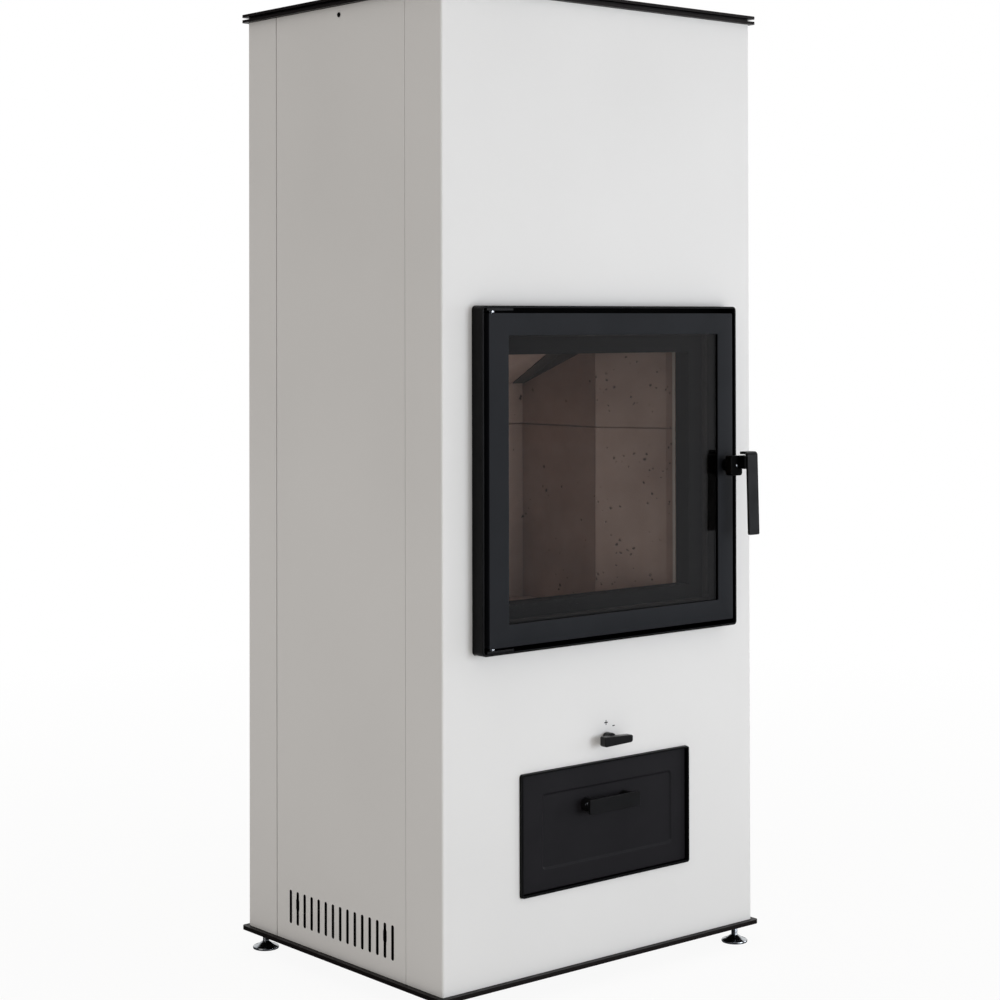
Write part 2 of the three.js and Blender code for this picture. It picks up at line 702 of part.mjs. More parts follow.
function fluePipe() {
  const bore = FLUE_RADIUS - FLUE_WALL;
  const flange = FLUE_RADIUS + 19;
  const top = CASING_HEIGHT + 2 * TOP_PLATE + TOP_GAP + FLUE_STUB;
  return lathe([
    [bore, high(970)],
    [FLUE_RADIUS, high(970)],
    [FLUE_RADIUS, high(SHELL_TOP + GAP)],
    [flange, high(SHELL_TOP + GAP)],
    [flange, high(SHELL_TOP + GAP + 3)],
    [FLUE_RADIUS, high(SHELL_TOP + GAP + 3)],
    [FLUE_RADIUS, high(top)],
    [bore, high(top)],
    [bore, high(970)],
  ], 40).translate([0, deep(FLUE_DEPTH), 0]);
}

function storingStone(layer) {
  const bottom = high(SHELL_TOP + GAP + layer * STONE_HEIGHT);
  const shape = roundedOutline([-200, 200], [deep(64), deep(404)], 8);
  const hole = rod("z", [0, deep(FLUE_DEPTH)], [bottom - 1, bottom + 200], FLUE_RADIUS + 22, 36);
  return cut(prism(shape, "z", [bottom, bottom + STONE_HEIGHT - GAP]), hole);
}

function airSpigot() {
  const flange = SPIGOT_RADIUS + 15;
  const wall = deep(PEDESTAL_BACK + GAP);
  const end = deep(CASING_DEPTH + SPIGOT_REACH);
  const place = [0, high(SPIGOT_HEIGHT)];
  const pipe = rod("y", place, [deep(PEDESTAL_BACK - 8), end], SPIGOT_RADIUS, 32);
  const collar = rod("y", place, [wall, wall + 3], flange, 32);
  const bore = rod("y", place, [deep(380), end + 5], SPIGOT_RADIUS - 1.5, 32);
  return cut(join(pipe, collar), bore);
}

fixed("flue_pipe", fluePipe(), BLACK_STEEL);
for (let layer = 0; layer < STONE_COUNT; layer += 1) {
  fixed(`storing_stone_${layer + 1}`, storingStone(layer), STONE);
}
fixed("air_spigot", airSpigot(), BLACK_STEEL);

// ---------------------------------------------------------------- cladding

const CLADDING_SPAN = [high(GAP), high(CASING_HEIGHT - GAP)];

// A sheet bent to a U in plan, its face on y = 0 and its arms running back with a return at each end.
function wrappedSheet(arm) {
  const sheet = CASING_SHEET;
  const inner = SIDE - sheet;
  const lip = SIDE - SEAM_FLANGE;
  const corner = CASING_CORNER;
  const plan = new THREE.Shape();
  plan.moveTo(-SIDE, arm);
  plan.lineTo(-SIDE, corner);
  plan.absarc(-SIDE + corner, corner, corner, Math.PI, Math.PI * 1.5, false);
  plan.lineTo(SIDE - corner, 0);
  plan.absarc(SIDE - corner, corner, corner, -Math.PI / 2, 0, false);
  plan.lineTo(SIDE, arm);
  plan.lineTo(lip, arm);
  plan.lineTo(lip, arm - sheet);
  plan.lineTo(inner, arm - sheet);
  plan.lineTo(inner, sheet + 1);
  plan.lineTo(inner - 1, sheet);
  plan.lineTo(-inner + 1, sheet);
  plan.lineTo(-inner, sheet + 1);
  plan.lineTo(-inner, arm - sheet);
  plan.lineTo(-lip, arm - sheet);
  plan.lineTo(-lip, arm);
  return prism(plan, "z", CLADDING_SPAN);
}

// A row of upright slots, cut along the named axis, centred on a place in the sheet's plane.
function slotRow(axis, centre, bottom, hooks, span) {
  const slots = [];
  for (let index = 0; index < SLOT_COUNT; index += 1) {
    const middle = centre + (index - (SLOT_COUNT - 1) / 2) * SLOT_PITCH;
    const across = [middle - SLOT_WIDTH / 2, middle + SLOT_WIDTH / 2];
    const shape = roundedOutline(across, [bottom, bottom + SLOT_HEIGHT], SLOT_WIDTH / 2 - 0.1);
    slots.push(prism(shape, axis, span, 1));
    if (hooks.includes(index)) {
      const wide = [middle - HOOK_WIDTH / 2, middle + HOOK_WIDTH / 2];
      const low = bottom + (SLOT_HEIGHT - HOOK_HEIGHT) / 2 + 6;
      slots.push(prism(roundedOutline(wide, [low, low + HOOK_HEIGHT], 3), axis, span, 1));
    }
  }
  return slots;
}

function frontCasing() {
  const through = [deep(-10), deep(10)];
  const door = DOOR_HALF_WIDTH + 0.5;
  const doorZ = [high(DOOR_BOTTOM - 0.5), high(DOOR_TOP + 0.5)];
  const doorHole = roundedOutline([-door, door], doorZ, DOOR_RIM_CORNER);
  const drawerX = DRAWER_HALF_WIDTH + 0.5;
  const drawerZ = [high(DRAWER_BOTTOM - 0.5), high(DRAWER_TOP + 0.5)];
  return cut(
    wrappedSheet(FRONT_WRAP).translate([0, FACE, 0]),
    prism(doorHole, "y", through),
    prism(roundedOutline([-drawerX, drawerX], drawerZ, 4), "y", through),
    rod("y", [0, high(AIR_HEIGHT)], through, AIR_SPINDLE_RADIUS + 1.5, 24),
  );
}

function rearCasing() {
  const back = deep(CASING_DEPTH);
  const through = [back - 10, back + 10];
  const sheet = wrappedSheet(REAR_WRAP).rotate([0, 0, 180]).translate([0, back, 0]);
  const intake = rod("y", [0, high(SPIGOT_HEIGHT)], through, SPIGOT_RADIUS + 2, 32);
  const lower = slotRow("y", 0, high(SLOT_FOOT), [], through);
  const upper = slotRow("y", 0, high(CASING_HEIGHT - SLOT_FOOT - SLOT_HEIGHT), [], through);
  return cut(sheet, intake, ...lower, ...upper);
}

function sidePanel(side) {
  const sheet = CASING_SHEET;
  const front = FRONT_WRAP + FRONT_SEAM;
  const back = CASING_DEPTH - REAR_WRAP - REAR_SEAM;
  const corners = [
    [SIDE, front],
    [SIDE, back],
    [SIDE - SEAM_FLANGE, back],
    [SIDE - SEAM_FLANGE, back - sheet],
    [SIDE - sheet, back - sheet],
    [SIDE - sheet, front + sheet],
    [SIDE - SEAM_FLANGE, front + sheet],
    [SIDE - SEAM_FLANGE, front],
  ];
  const plan = outline(corners.map(([x, depth]) => [side * x, deep(depth)]));
  const across = side < 0 ? [-SIDE - 5, -SIDE + 5] : [SIDE - 5, SIDE + 5];
  const middle = deep(CASING_DEPTH / 2);
  const slots = slotRow("x", middle, high(SLOT_FOOT), HOOK_SLOTS, across);
  const screwHole = rod("x", [middle, high(1348)], across, 2.8, 20);
  return cut(prism(plan, "z", CLADDING_SPAN), screwHole, ...slots);
}

function panelScrew(side) {
  const place = [deep(CASING_DEPTH / 2), high(1348)];
  const head = side < 0 ? [-SIDE - 2, -SIDE - GAP] : [SIDE + GAP, SIDE + 2];
  const shank = side < 0 ? [-SIDE - 1, -SIDE + 12] : [SIDE - 12, SIDE + 1];
  return join(rod("x", place, head, 3.6, 20), rod("x", place, shank, 2.4, 20));
}

fixed("front_casing", frontCasing(), WHITE_STEEL);
fixed("rear_casing", rearCasing(), WHITE_STEEL);
for (const [name, side] of Object.entries(FOOT_SIDE)) {
  fixed(`side_panel_${name}`, sidePanel(side), WHITE_STEEL);
  fixed(`side_panel_screw_${name}`, panelScrew(side), BLACK_STEEL);
}

// ---------------------------------------------------------------- top plates

function topPlate(bottom) {
  const z = [high(bottom), high(bottom + TOP_PLATE)];
  const hole = rod("z", [0, deep(FLUE_DEPTH)], [z[0] - 1, z[1] + 1], FLUE_RADIUS + 5, 40);
  return cut(prism(plateOutline(), "z", z), hole);
}

function topSpacer() {
  const z = [high(CASING_HEIGHT + TOP_PLATE + GAP), high(CASING_HEIGHT + TOP_PLATE + TOP_GAP - GAP)];
  return ring([-SIDE, SIDE], [deep(0), deep(CASING_DEPTH)], 14, CASING_CORNER, "z", z);
}

fixed("top_plate_lower", topPlate(CASING_HEIGHT), BLACK_STEEL);
fixed("top_spacer", topSpacer(), BLACK_STEEL);
fixed("top_plate_upper", topPlate(CASING_HEIGHT + TOP_PLATE + TOP_GAP), BLACK_STEEL);

// ---------------------------------------------------------------- fire door: surround and hinges

function doorSurround() {
  const x = [-DOOR_HALF_WIDTH, DOOR_HALF_WIDTH];
  const z = [high(DOOR_BOTTOM), high(DOOR_TOP)];
  const y = [deep(-DOOR_PROUD), deep(FRAME_FRONT - GAP)];
  return ring(x, z, DOOR_RIM, DOOR_RIM_CORNER, "y", y);
}

// A bracket in the gap beside the leaf, with the pin that the leaf turns on.
function hingeBracket(end) {
  const rim = end > 0 ? DOOR_TOP - DOOR_RIM - GAP : DOOR_BOTTOM + DOOR_RIM + GAP;
  const edge = end > 0 ? LEAF_TOP : LEAF_BOTTOM;
  const span = (from, to) => [high(Math.min(from, to)), high(Math.max(from, to))];
  const place = [HINGE_X, deep(HINGE_DEPTH)];
  const plate = block([-237, -190], [deep(-20), deep(FRAME_FRONT - GAP)], span(rim - end * 3, rim));
  const washer = rod("z", place, span(edge + end * 0.5, rim - end * 2), 5.5, 20);
  const pin = rod("z", place, span(edge - end * 20, rim - end * 2), HINGE_PIN_RADIUS, 16);
  return join(plate, washer, pin);
}

function latchKeeper() {
  const x = [240.2, DOOR_HALF_WIDTH - DOOR_RIM - GAP];
  return block(x, [deep(-3), deep(2.9)], [high(LATCH_HEIGHT - 28), high(LATCH_HEIGHT + 28)]);
}

fixed("door_surround", doorSurround(), BLACK_STEEL);
fixed("hinge_bracket_top", hingeBracket(1), BLACK_STEEL);
fixed("hinge_bracket_bottom", hingeBracket(-1), BLACK_STEEL);
fixed("latch_keeper", latchKeeper(), RAW_STEEL);

// ---------------------------------------------------------------- fire door: leaf

const WINDOW_X = [WINDOW_LEFT, WINDOW_RIGHT];
const WINDOW_Z = [high(WINDOW_BOTTOM), high(WINDOW_TOP)];
const POCKET_X = [WINDOW_LEFT - GLASS_LAP, WINDOW_RIGHT + GLASS_LAP];
const POCKET_Z = [high(WINDOW_BOTTOM - GLASS_LAP), high(WINDOW_TOP + GLASS_LAP)];
const SEAL_THICKNESS = 0.5;
const PANE_FRONT = -DOOR_PROUD + WINDOW_RECESS + GAP + SEAL_THICKNESS + GAP;
const shrink = ([from, to], by) => [from + by, to - by];

function doorLeaf() {
  const shape = roundedOutline([LEAF_LEFT, LEAF_RIGHT], [high(LEAF_BOTTOM), high(LEAF_TOP)], LEAF_CORNER);
  const y = [deep(-DOOR_PROUD), deep(LEAF_BACK)];
  const through = [y[0] - 1, y[1] + 1];
  const opening = prism(roundedOutline(WINDOW_X, WINDOW_Z, 3), "y", through);
  const pocket = block(POCKET_X, [y[0] + WINDOW_RECESS, through[1]], POCKET_Z);
  const bores = [LEAF_BOTTOM, LEAF_TOP].map((edge) => {
    const reach = [high(edge - 23), high(edge + 23)];
    return rod("z", [HINGE_X, deep(HINGE_DEPTH)], reach, HINGE_PIN_RADIUS + 0.4, 16);
  });
  const shaft = rod("y", [LATCH_X, high(LATCH_HEIGHT)], through, LATCH_SHAFT_RADIUS + 0.4, 24);
  return cut(prism(shape, "y", y), opening, pocket, ...bores, shaft);
}

function glassPane() {
  const y = [deep(PANE_FRONT), deep(PANE_FRONT + GLASS_THICKNESS)];
  return block(shrink(POCKET_X, GAP), y, shrink(POCKET_Z, GAP));
}

function glassSeal() {
  const front = deep(-DOOR_PROUD + WINDOW_RECESS + GAP);
  return ring(shrink(POCKET_X, GAP), shrink(POCKET_Z, GAP), GLASS_LAP - 1, 1, "y", [front, front + SEAL_THICKNESS]);
}

function glassRetainer() {
  const span = [deep(PANE_FRONT + GLASS_THICKNESS + GAP), deep(LEAF_BACK)];
  return ring(shrink(POCKET_X, GAP), shrink(POCKET_Z, GAP), GLASS_LAP - 1, 1, "y", span);
}

// The rope seal lies on the retainer and is pressed onto the door frame.
function ropeSeal() {
  const span = [deep(LEAF_BACK + GAP), deep(FRAME_FRONT - GAP)];
  return ring(shrink(POCKET_X, 0.6), shrink(POCKET_Z, 0.6), 8, 5, "y", span);
}

const fireDoor = movingGroup(HINGE_X, deep(HINGE_DEPTH), high(LEAF_BOTTOM));
piece(fireDoor, "door_leaf", doorLeaf(), DOOR_STEEL);
piece(fireDoor, "glass_seal", glassSeal(), ROPE);
piece(fireDoor, "door_glass", glassPane(), GLASS);
piece(fireDoor, "glass_retainer", glassRetainer(), BLACK_STEEL);
piece(fireDoor, "rope_seal", ropeSeal(), ROPE);

// ---------------------------------------------------------------- fire door: latch and lever

function latchShaft() {
  const place = [LATCH_X, high(LATCH_HEIGHT)];
  const cam = new THREE.Shape();
  cam.absarc(0, 0, LATCH_CAM_REACH, -0.5, 0.5, false);
  cam.absarc(0, 0, 8, 0.9, Math.PI * 2 - 0.9, false);
  const plate = prism(cam, "y", [deep(3.5), deep(7.5)], 4).translate([LATCH_X, 0, high(LATCH_HEIGHT)]);
  return join(rod("y", place, [deep(-31), deep(7.5)], LATCH_SHAFT_RADIUS, 24), plate);
}

// The hub's square boss, grown by a clearance where something has to fit round it.
function hubBoss([from, to], clearance = 0) {
  const width = HUB_HALF_WIDTH + clearance;
  const height = HUB_HALF_HEIGHT + clearance;
  const x = [LATCH_X - width, LATCH_X + width];
  const z = [high(LATCH_HEIGHT - height), high(LATCH_HEIGHT + height)];
  return prism(roundedOutline(x, z, HUB_CORNER), "y", [from, to], 4);
}

// A square boss on a round neck, pressed onto the latch shaft.
function handleHub() {
  const place = [LATCH_X, high(LATCH_HEIGHT)];
  const boss = hubBoss([deep(HUB_FRONT), deep(HUB_BACK)]);
  const neck = rod("y", place, [deep(HUB_BACK - 1), deep(-DOOR_PROUD - 0.4)], HUB_NECK_RADIUS, 32);
  const bore = rod("y", place, [deep(-31.5), deep(0)], LATCH_SHAFT_RADIUS + 0.3, 24);
  return cut(join(boss, neck), bore);
}

// The side view of the flat bar, which hangs down in front and is bent back at its top.
function gripProfile() {
  const front = GRIP_FRONT_TOP;
  const back = front + GRIP_THICKNESS;
  const elbow = [deep(front + GRIP_BEND), high(GRIP_TOP - GRIP_BEND)];
  const profile = new THREE.Shape();
  profile.moveTo(deep(GRIP_FRONT_BOTTOM), high(GRIP_BOTTOM));
  profile.lineTo(deep(GRIP_FRONT_BOTTOM + GRIP_THICKNESS), high(GRIP_BOTTOM));
  profile.lineTo(deep(back), elbow[1]);
  profile.absarc(...elbow, GRIP_BEND - GRIP_THICKNESS, Math.PI, Math.PI / 2, true);
  profile.lineTo(deep(front + GRIP_RETURN), high(GRIP_TOP - GRIP_THICKNESS));
  profile.lineTo(deep(front + GRIP_RETURN), high(GRIP_TOP));
  profile.lineTo(deep(front + GRIP_BEND), high(GRIP_TOP));
  profile.absarc(...elbow, GRIP_BEND, Math.PI / 2, Math.PI, false);
  return profile;
}

// The arm is welded to the bar, laps over the hub's face and clasps its side.
function handleGrip() {
  const face = roundedOutline([GRIP_LEFT, GRIP_RIGHT], [high(GRIP_BOTTOM), high(GRIP_TOP + 20)], GRIP_CORNER);
  const strip = prism(face, "y", [deep(-80), deep(-30)], 4);
  const bar = prism(gripProfile(), "x", [GRIP_LEFT, GRIP_RIGHT], 3).intersect(strip);
  const arm = block(ARM_X, ARM_DEPTH.map(deep), ARM_HEIGHT.map(high));
  const seat = hubBoss([deep(HUB_FRONT - GAP), deep(HUB_BACK)], GAP);
  return join(cut(arm, seat), bar);
}

function handleScrew() {
  const span = [deep(HUB_FRONT - 2.3), deep(HUB_FRONT - GAP)];
  return rod("y", [LATCH_X, high(LATCH_HEIGHT)], span, 3, 16);
}

const latch = movingGroup(LATCH_X, deep(0), high(LATCH_HEIGHT));
piece(latch, "latch_shaft", latchShaft(), RAW_STEEL);
piece(latch, "handle_hub", handleHub(), BLACK_STEEL);
piece(latch, "handle_grip", handleGrip(), BLACK_STEEL);
piece(latch, "handle_screw", handleScrew(), BRIGHT_STEEL);

export default stove;
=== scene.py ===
# %% [markdown]
# # A wood stove clad in painted sheet steel
#
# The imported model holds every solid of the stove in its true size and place. This lesson dresses
# it: paint, glass, fired stone and zinc are worked out as node materials, and the pieces whose
# edges catch the light are made again as surfaces, on the same dimensions as the solids.

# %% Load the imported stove
import json
import math

import bmesh
import bpy
import numpy as np
from mathutils import Matrix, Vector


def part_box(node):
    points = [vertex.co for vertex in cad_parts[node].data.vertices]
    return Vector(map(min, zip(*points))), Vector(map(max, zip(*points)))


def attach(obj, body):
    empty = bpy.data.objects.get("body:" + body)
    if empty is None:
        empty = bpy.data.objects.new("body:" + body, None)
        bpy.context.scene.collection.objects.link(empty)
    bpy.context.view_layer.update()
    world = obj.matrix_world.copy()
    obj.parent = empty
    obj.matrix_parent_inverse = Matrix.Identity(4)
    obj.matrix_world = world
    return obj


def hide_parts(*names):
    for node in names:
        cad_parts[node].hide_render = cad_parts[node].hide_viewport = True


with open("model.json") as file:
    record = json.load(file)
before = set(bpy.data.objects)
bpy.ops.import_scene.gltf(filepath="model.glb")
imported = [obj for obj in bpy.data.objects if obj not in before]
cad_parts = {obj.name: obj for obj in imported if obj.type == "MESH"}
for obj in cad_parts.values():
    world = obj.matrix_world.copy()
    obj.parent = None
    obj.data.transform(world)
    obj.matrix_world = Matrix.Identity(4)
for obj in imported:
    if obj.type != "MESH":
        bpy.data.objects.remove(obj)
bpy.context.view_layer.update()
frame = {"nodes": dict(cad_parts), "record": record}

# %% [markdown]
# ## Where things are
#
# A stove builder measures from two faces: back from the front of the casing, and up from the base
# plate. Two small functions turn such measures, in millimetres, into the frame's metres, so that
# every value below can be read like a workshop drawing.

# %% Workshop measures
MM = 0.001
CASING_GAP = 0.3 * MM  # the casing stands this far clear of the base plate
CASING_FRONT = float(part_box("front_casing")[0][1])
PLATE_TOP = float(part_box("front_casing")[0][2]) - CASING_GAP


def deep(millimetres):
    """A distance behind the casing's front face, as a y value in metres."""
    return CASING_FRONT + millimetres * MM


def high(millimetres):
    """A height above the base plate, as a z value in metres."""
    return PLATE_TOP + millimetres * MM


print("front face at y", round(CASING_FRONT, 4), "base plate's top at z", round(PLATE_TOP, 4))

# %% [markdown]
# ## The camera
#
# The photograph was taken from a little under a metre high, forty degrees to the left of the door,
# with the camera held within half a degree of level and the picture cropped low. A vertical shift,
# in place of a tilt, keeps the stove's edges upright, as in the picture.

# %% Camera
LENS_MM, SENSOR_MM, SHIFT_UP = 78.16, 36, -0.1964
STANDPOINT = (-2.122, deep(-2286.5), high(908.9))
YAW, PITCH, ROLL = np.radians([40.093, 0.474, -0.109])

look = np.array([math.sin(YAW) * math.cos(PITCH), math.cos(YAW) * math.cos(PITCH), math.sin(PITCH)])
level = np.array([math.cos(YAW), -math.sin(YAW), 0.0])
upright = np.cross(level, look)
right = math.cos(ROLL) * level + math.sin(ROLL) * upright
above = math.cos(ROLL) * upright - math.sin(ROLL) * level

camera_data = bpy.data.cameras.new("photo_camera")
camera_data.sensor_width = SENSOR_MM
camera_data.lens = LENS_MM
camera_data.shift_y = SHIFT_UP
camera = bpy.data.objects.new("photo_camera", camera_data)
facing = Matrix((right, above, -look)).transposed().to_4x4()
camera.matrix_world = Matrix.Translation(STANDPOINT) @ facing
bpy.context.scene.collection.objects.link(camera)
bpy.context.scene.camera = camera
bpy.context.scene.view_settings.view_transform = "Standard"
print("camera at", [round(v, 3) for v in camera.location])

# %% [markdown]
# ## A small kit for materials
#
# A node material is a list of nodes, each with settings and links. One function that adds a node
# and fills its sockets, from values or from other nodes' outputs, keeps each finish readable.
# Colours are written as sRGB hex values, as a paint chart gives them, and turned to linear light.


# %% Material kit
def linear(hex_colour):
    """sRGB hex to linear RGBA: c / 12.92 where dark, ((c + 0.055) / 1.055) ** 2.4 elsewhere."""
    srgb = np.array([int(hex_colour[i:i + 2], 16) for i in (1, 3, 5)]) / 255
    light = np.where(srgb <= 0.04045, srgb / 12.92, ((srgb + 0.055) / 1.055) ** 2.4)
    return (*light.tolist(), 1.0)


def add(tree, kind, sockets=None, **settings):
    """Adds a node. Settings are its own properties; sockets take a value or another output."""
    made = tree.nodes.new(kind)
    for name, value in settings.items():
        setattr(made, name, value)
    for name, value in (sockets or {}).items():
        if isinstance(value, bpy.types.NodeSocket):
            tree.links.new(value, made.inputs[name])
        else:
            made.inputs[name].default_value = value
    return made


def new_finish(name):
    """An empty material: its tree, its object coordinates and its surface socket."""
    material = bpy.data.materials.new(name)
    material.use_nodes = True
    tree = material.node_tree
    tree.nodes.clear()
    place = add(tree, "ShaderNodeTexCoord").outputs["Object"]
    surface = add(tree, "ShaderNodeOutputMaterial").inputs["Surface"]
    print("finish:", name)
    return material, tree, place, surface


def grain(tree, place, size_mm, detail=2.0, roughness=0.5):
    """Noise whose features are about size_mm across."""
    sockets = {"Vector": place, "Scale": 1 / (size_mm * MM),
               "Detail": detail, "Roughness": roughness}
    return add(tree, "ShaderNodeTexNoise", sockets).outputs["Fac"]


def between(tree, factor, first, last, from_min=0.3, from_max=0.7):
    """Maps a pattern's range onto first to last. Noise seldom leaves the range from 0.3 to 0.7."""
    sockets = {"Value": factor, "From Min": from_min, "From Max": from_max,
               "To Min": first, "To Max": last}
    return add(tree, "ShaderNodeMapRange", sockets).outputs["Result"]


def two_tone(tree, factor, first, second):
    """Mixes two colours by a factor."""
    mix = add(tree, "ShaderNodeMix", {"Factor": factor}, data_type="RGBA")
    for index, colour in ((6, first), (7, second)):
        if isinstance(colour, str):
            mix.inputs[index].default_value = linear(colour)
        else:
            tree.links.new(colour, mix.inputs[index])
    return mix.outputs[2]


def bumped(tree, height, depth_mm, strength):
    """A bump whose full height is depth_mm, let through by its strength."""
    sockets = {"Height": height, "Distance": depth_mm * MM, "Strength": strength}
    return add(tree, "ShaderNodeBump", sockets).outputs["Normal"]


print("material kit ready; white is", linear("#ffffff"))

# %% [markdown]
# ## Polyester powder coat
#
# The casing is folded from zinc-treated sheet and powder coated: a dry paint powder is sprayed on
# with a charge and baked, which leaves a satin film with the faint waviness called orange peel.
# Its ripples are about 2 mm apart and a few hundredths deep, so they only show in the gloss.


# %% White casing paint
def white_powder_coat():
    """Satin white: an off-white body colour, and orange peel that only moves the highlight."""
    material, tree, place, surface = new_finish("white_powder_coat")
    cloud = grain(tree, place, 260, detail=1)
    peel = grain(tree, place, 2.2, detail=1)
    shader = add(tree, "ShaderNodeBsdfPrincipled", {
        "Base Color": two_tone(tree, between(tree, cloud, 0, 1), "#e9e9e8", "#e6e6e5"),
        "Roughness": between(tree, grain(tree, place, 90), 0.42, 0.5),
        "Normal": bumped(tree, peel, 0.05, 0.35),
        "IOR": 1.5,
    })
    tree.links.new(shader.outputs["BSDF"], surface)
    return material


# %% [markdown]
# ## Black coatings
#
# Three blacks meet on this stove. The door leaf and the drawer are sprayed with silicone stove
# paint, which dries dead matt and grey beside the rest. The rims, plates and levers have a smoother
# black powder coat. Parts near the fire are left in mill steel that heat has darkened.


# %% Stove paint and black powder coat
def silicone_stove_paint(name, tone, deep_tone, roughness, gloss=0.13):
    """Matt heat-proof paint: fine dry spray grain about half a millimetre across."""
    material, tree, place, surface = new_finish(name)
    cloud = grain(tree, place, 70, detail=3)
    spray = grain(tree, place, 0.6, detail=1)
    shader = add(tree, "ShaderNodeBsdfPrincipled", {
        "Base Color": two_tone(tree, between(tree, cloud, 0, 1), tone, deep_tone),
        "Roughness": between(tree, spray, roughness - 0.04, roughness + 0.05),
        "Normal": bumped(tree, spray, 0.03, 0.4),
        "Specular IOR Level": gloss,
    })
    tree.links.new(shader.outputs["BSDF"], surface)
    return material


def black_powder_coat(name="black_powder_coat", tone="#080809", roughness=0.34, gloss=0.22,
                      peel_mm=0.03):
    """Satin black film: a little orange peel, and rubbed spots that shine slightly more."""
    material, tree, place, surface = new_finish(name)
    rubbed = grain(tree, place, 35, detail=4)
    peel = grain(tree, place, 1.6, detail=1)
    shader = add(tree, "ShaderNodeBsdfPrincipled", {
        "Base Color": linear(tone),
        "Roughness": between(tree, rubbed, roughness - 0.05, roughness + 0.07),
        "Normal": bumped(tree, peel, peel_mm, 0.3),
        "Specular IOR Level": gloss,
    })
    tree.links.new(shader.outputs["BSDF"], surface)
    return material


def heat_darkened_steel():
    """Mill steel after firing: dark blue-grey scale with brown patches, about half metallic."""
    material, tree, place, surface = new_finish("heat_darkened_steel")
    patches = grain(tree, place, 45, detail=5, roughness=0.6)
    scale = grain(tree, place, 1.2, detail=3)
    shader = add(tree, "ShaderNodeBsdfPrincipled", {
        "Base Color": two_tone(tree, between(tree, patches, 0, 1), "#3a3b3f", "#4a4541"),
        "Metallic": 0.55,
        "Roughness": between(tree, patches, 0.5, 0.7),
        "Normal": bumped(tree, scale, 0.05, 0.5),
    })
    tree.links.new(shader.outputs["BSDF"], surface)
    return material


# %% [markdown]
# ## Zinc and cast iron
#
# The levelling feet, the hinge brackets and the grub screws are zinc plated and polished bright.
# Zinc reflects almost white with a faint blue cast. The grate is grey iron cast in sand, whose
# skin keeps the sand's grain of about half a millimetre.


# %% Bright zinc and sand-cast iron
def bright_zinc():
    """Polished zinc plating: a metal with faint cloudy haze and fine turning marks."""
    material, tree, place, surface = new_finish("bright_zinc_plating")
    haze = grain(tree, place, 9, detail=3)
    shader = add(tree, "ShaderNodeBsdfPrincipled", {
        "Base Color": two_tone(tree, between(tree, haze, 0, 1), "#bbbec1", "#9fa3a8"),
        "Metallic": 1.0,
        "Roughness": between(tree, haze, 0.12, 0.26),
        "Normal": bumped(tree, grain(tree, place, 0.8, detail=2), 0.01, 0.3),
    })
    tree.links.new(shader.outputs["BSDF"], surface)
    return material


def sand_cast_iron():
    """Grey iron with the sand mould's grain and a thin film of ash here and there."""
    material, tree, place, surface = new_finish("sand_cast_iron")
    sand = grain(tree, place, 0.9, detail=3, roughness=0.65)
    ash = grain(tree, place, 14, detail=4)
    shader = add(tree, "ShaderNodeBsdfPrincipled", {
        "Base Color": two_tone(tree, between(tree, ash, 0, 1, 0.45, 0.75), "#262626", "#4b4845"),
        "Metallic": 0.3,
        "Roughness": between(tree, sand, 0.6, 0.8),
        "Normal": bumped(tree, sand, 0.25, 0.8),
    })
    tree.links.new(shader.outputs["BSDF"], surface)
    return material


# %% [markdown]
# ## Fired stone
#
# The lining is cast from refractory concrete: crushed fireclay in a binder, beige grey when new.
# Air caught against the mould leaves open pores of 2 to 6 mm, here and there in loose groups. A
# pattern of cells places one possible pore in each, and a coarse noise says which stay open.


# %% Refractory concrete
def refractory_concrete(name, pale, dark, pore_gap_mm=14, closed_below=0.47):
    """Beige fired concrete: fine aggregate, cloudy colour and scattered open pores, whose floors
    the aggregate roughens. A pore is open where the coarse noise is above closed_below."""
    material, tree, place, surface = new_finish(name)
    cloud = grain(tree, place, 85, detail=4)
    aggregate = grain(tree, place, 1.4, detail=4, roughness=0.7)
    wobble = add(tree, "ShaderNodeTexNoise", {"Vector": place, "Scale": 1 / (6.25 * MM)})
    shift = add(tree, "ShaderNodeVectorMath", {0: wobble.outputs["Color"], "Scale": 6 * MM},
                operation="SCALE")
    bent = add(tree, "ShaderNodeVectorMath", {0: place, 1: shift.outputs["Vector"]},
               operation="ADD")
    cells = {"Vector": bent.outputs["Vector"], "Scale": 1 / (pore_gap_mm * MM), "Randomness": 1.0}
    pore = add(tree, "ShaderNodeTexVoronoi", cells)
    group = grain(tree, place, 45, detail=1)
    open_here = between(tree, group, 0.0, 0.3, closed_below, closed_below + 0.21)
    hole = add(tree, "ShaderNodeMapRange", {
        "Value": pore.outputs["Distance"], "From Min": 0.0, "From Max": open_here,
        "To Min": 1.0, "To Max": 0.0,
    }, interpolation_type="SMOOTHSTEP").outputs["Result"]
    body = two_tone(tree, between(tree, cloud, 0, 1), pale, dark)
    speckled = two_tone(tree, between(tree, aggregate, 0, 0.35, 0.5, 0.8), body, dark)
    sunk = add(tree, "ShaderNodeMath", {0: hole, 1: -1.0}, operation="MULTIPLY").outputs["Value"]
    relief = add(tree, "ShaderNodeMath", {0: aggregate, 1: hole, 2: sunk},
                 operation="MULTIPLY_ADD")
    shader = add(tree, "ShaderNodeBsdfPrincipled", {
        # The pores' insides are painted near-black as shade in the hollows; the bump only dents
        # them.
        "Base Color": two_tone(tree, hole, speckled, "#241d19"),
        "Roughness": 0.92,
        "Normal": bumped(tree, relief.outputs["Value"], 2.0, 0.7),
    })
    tree.links.new(shader.outputs["BSDF"], surface)
    return material


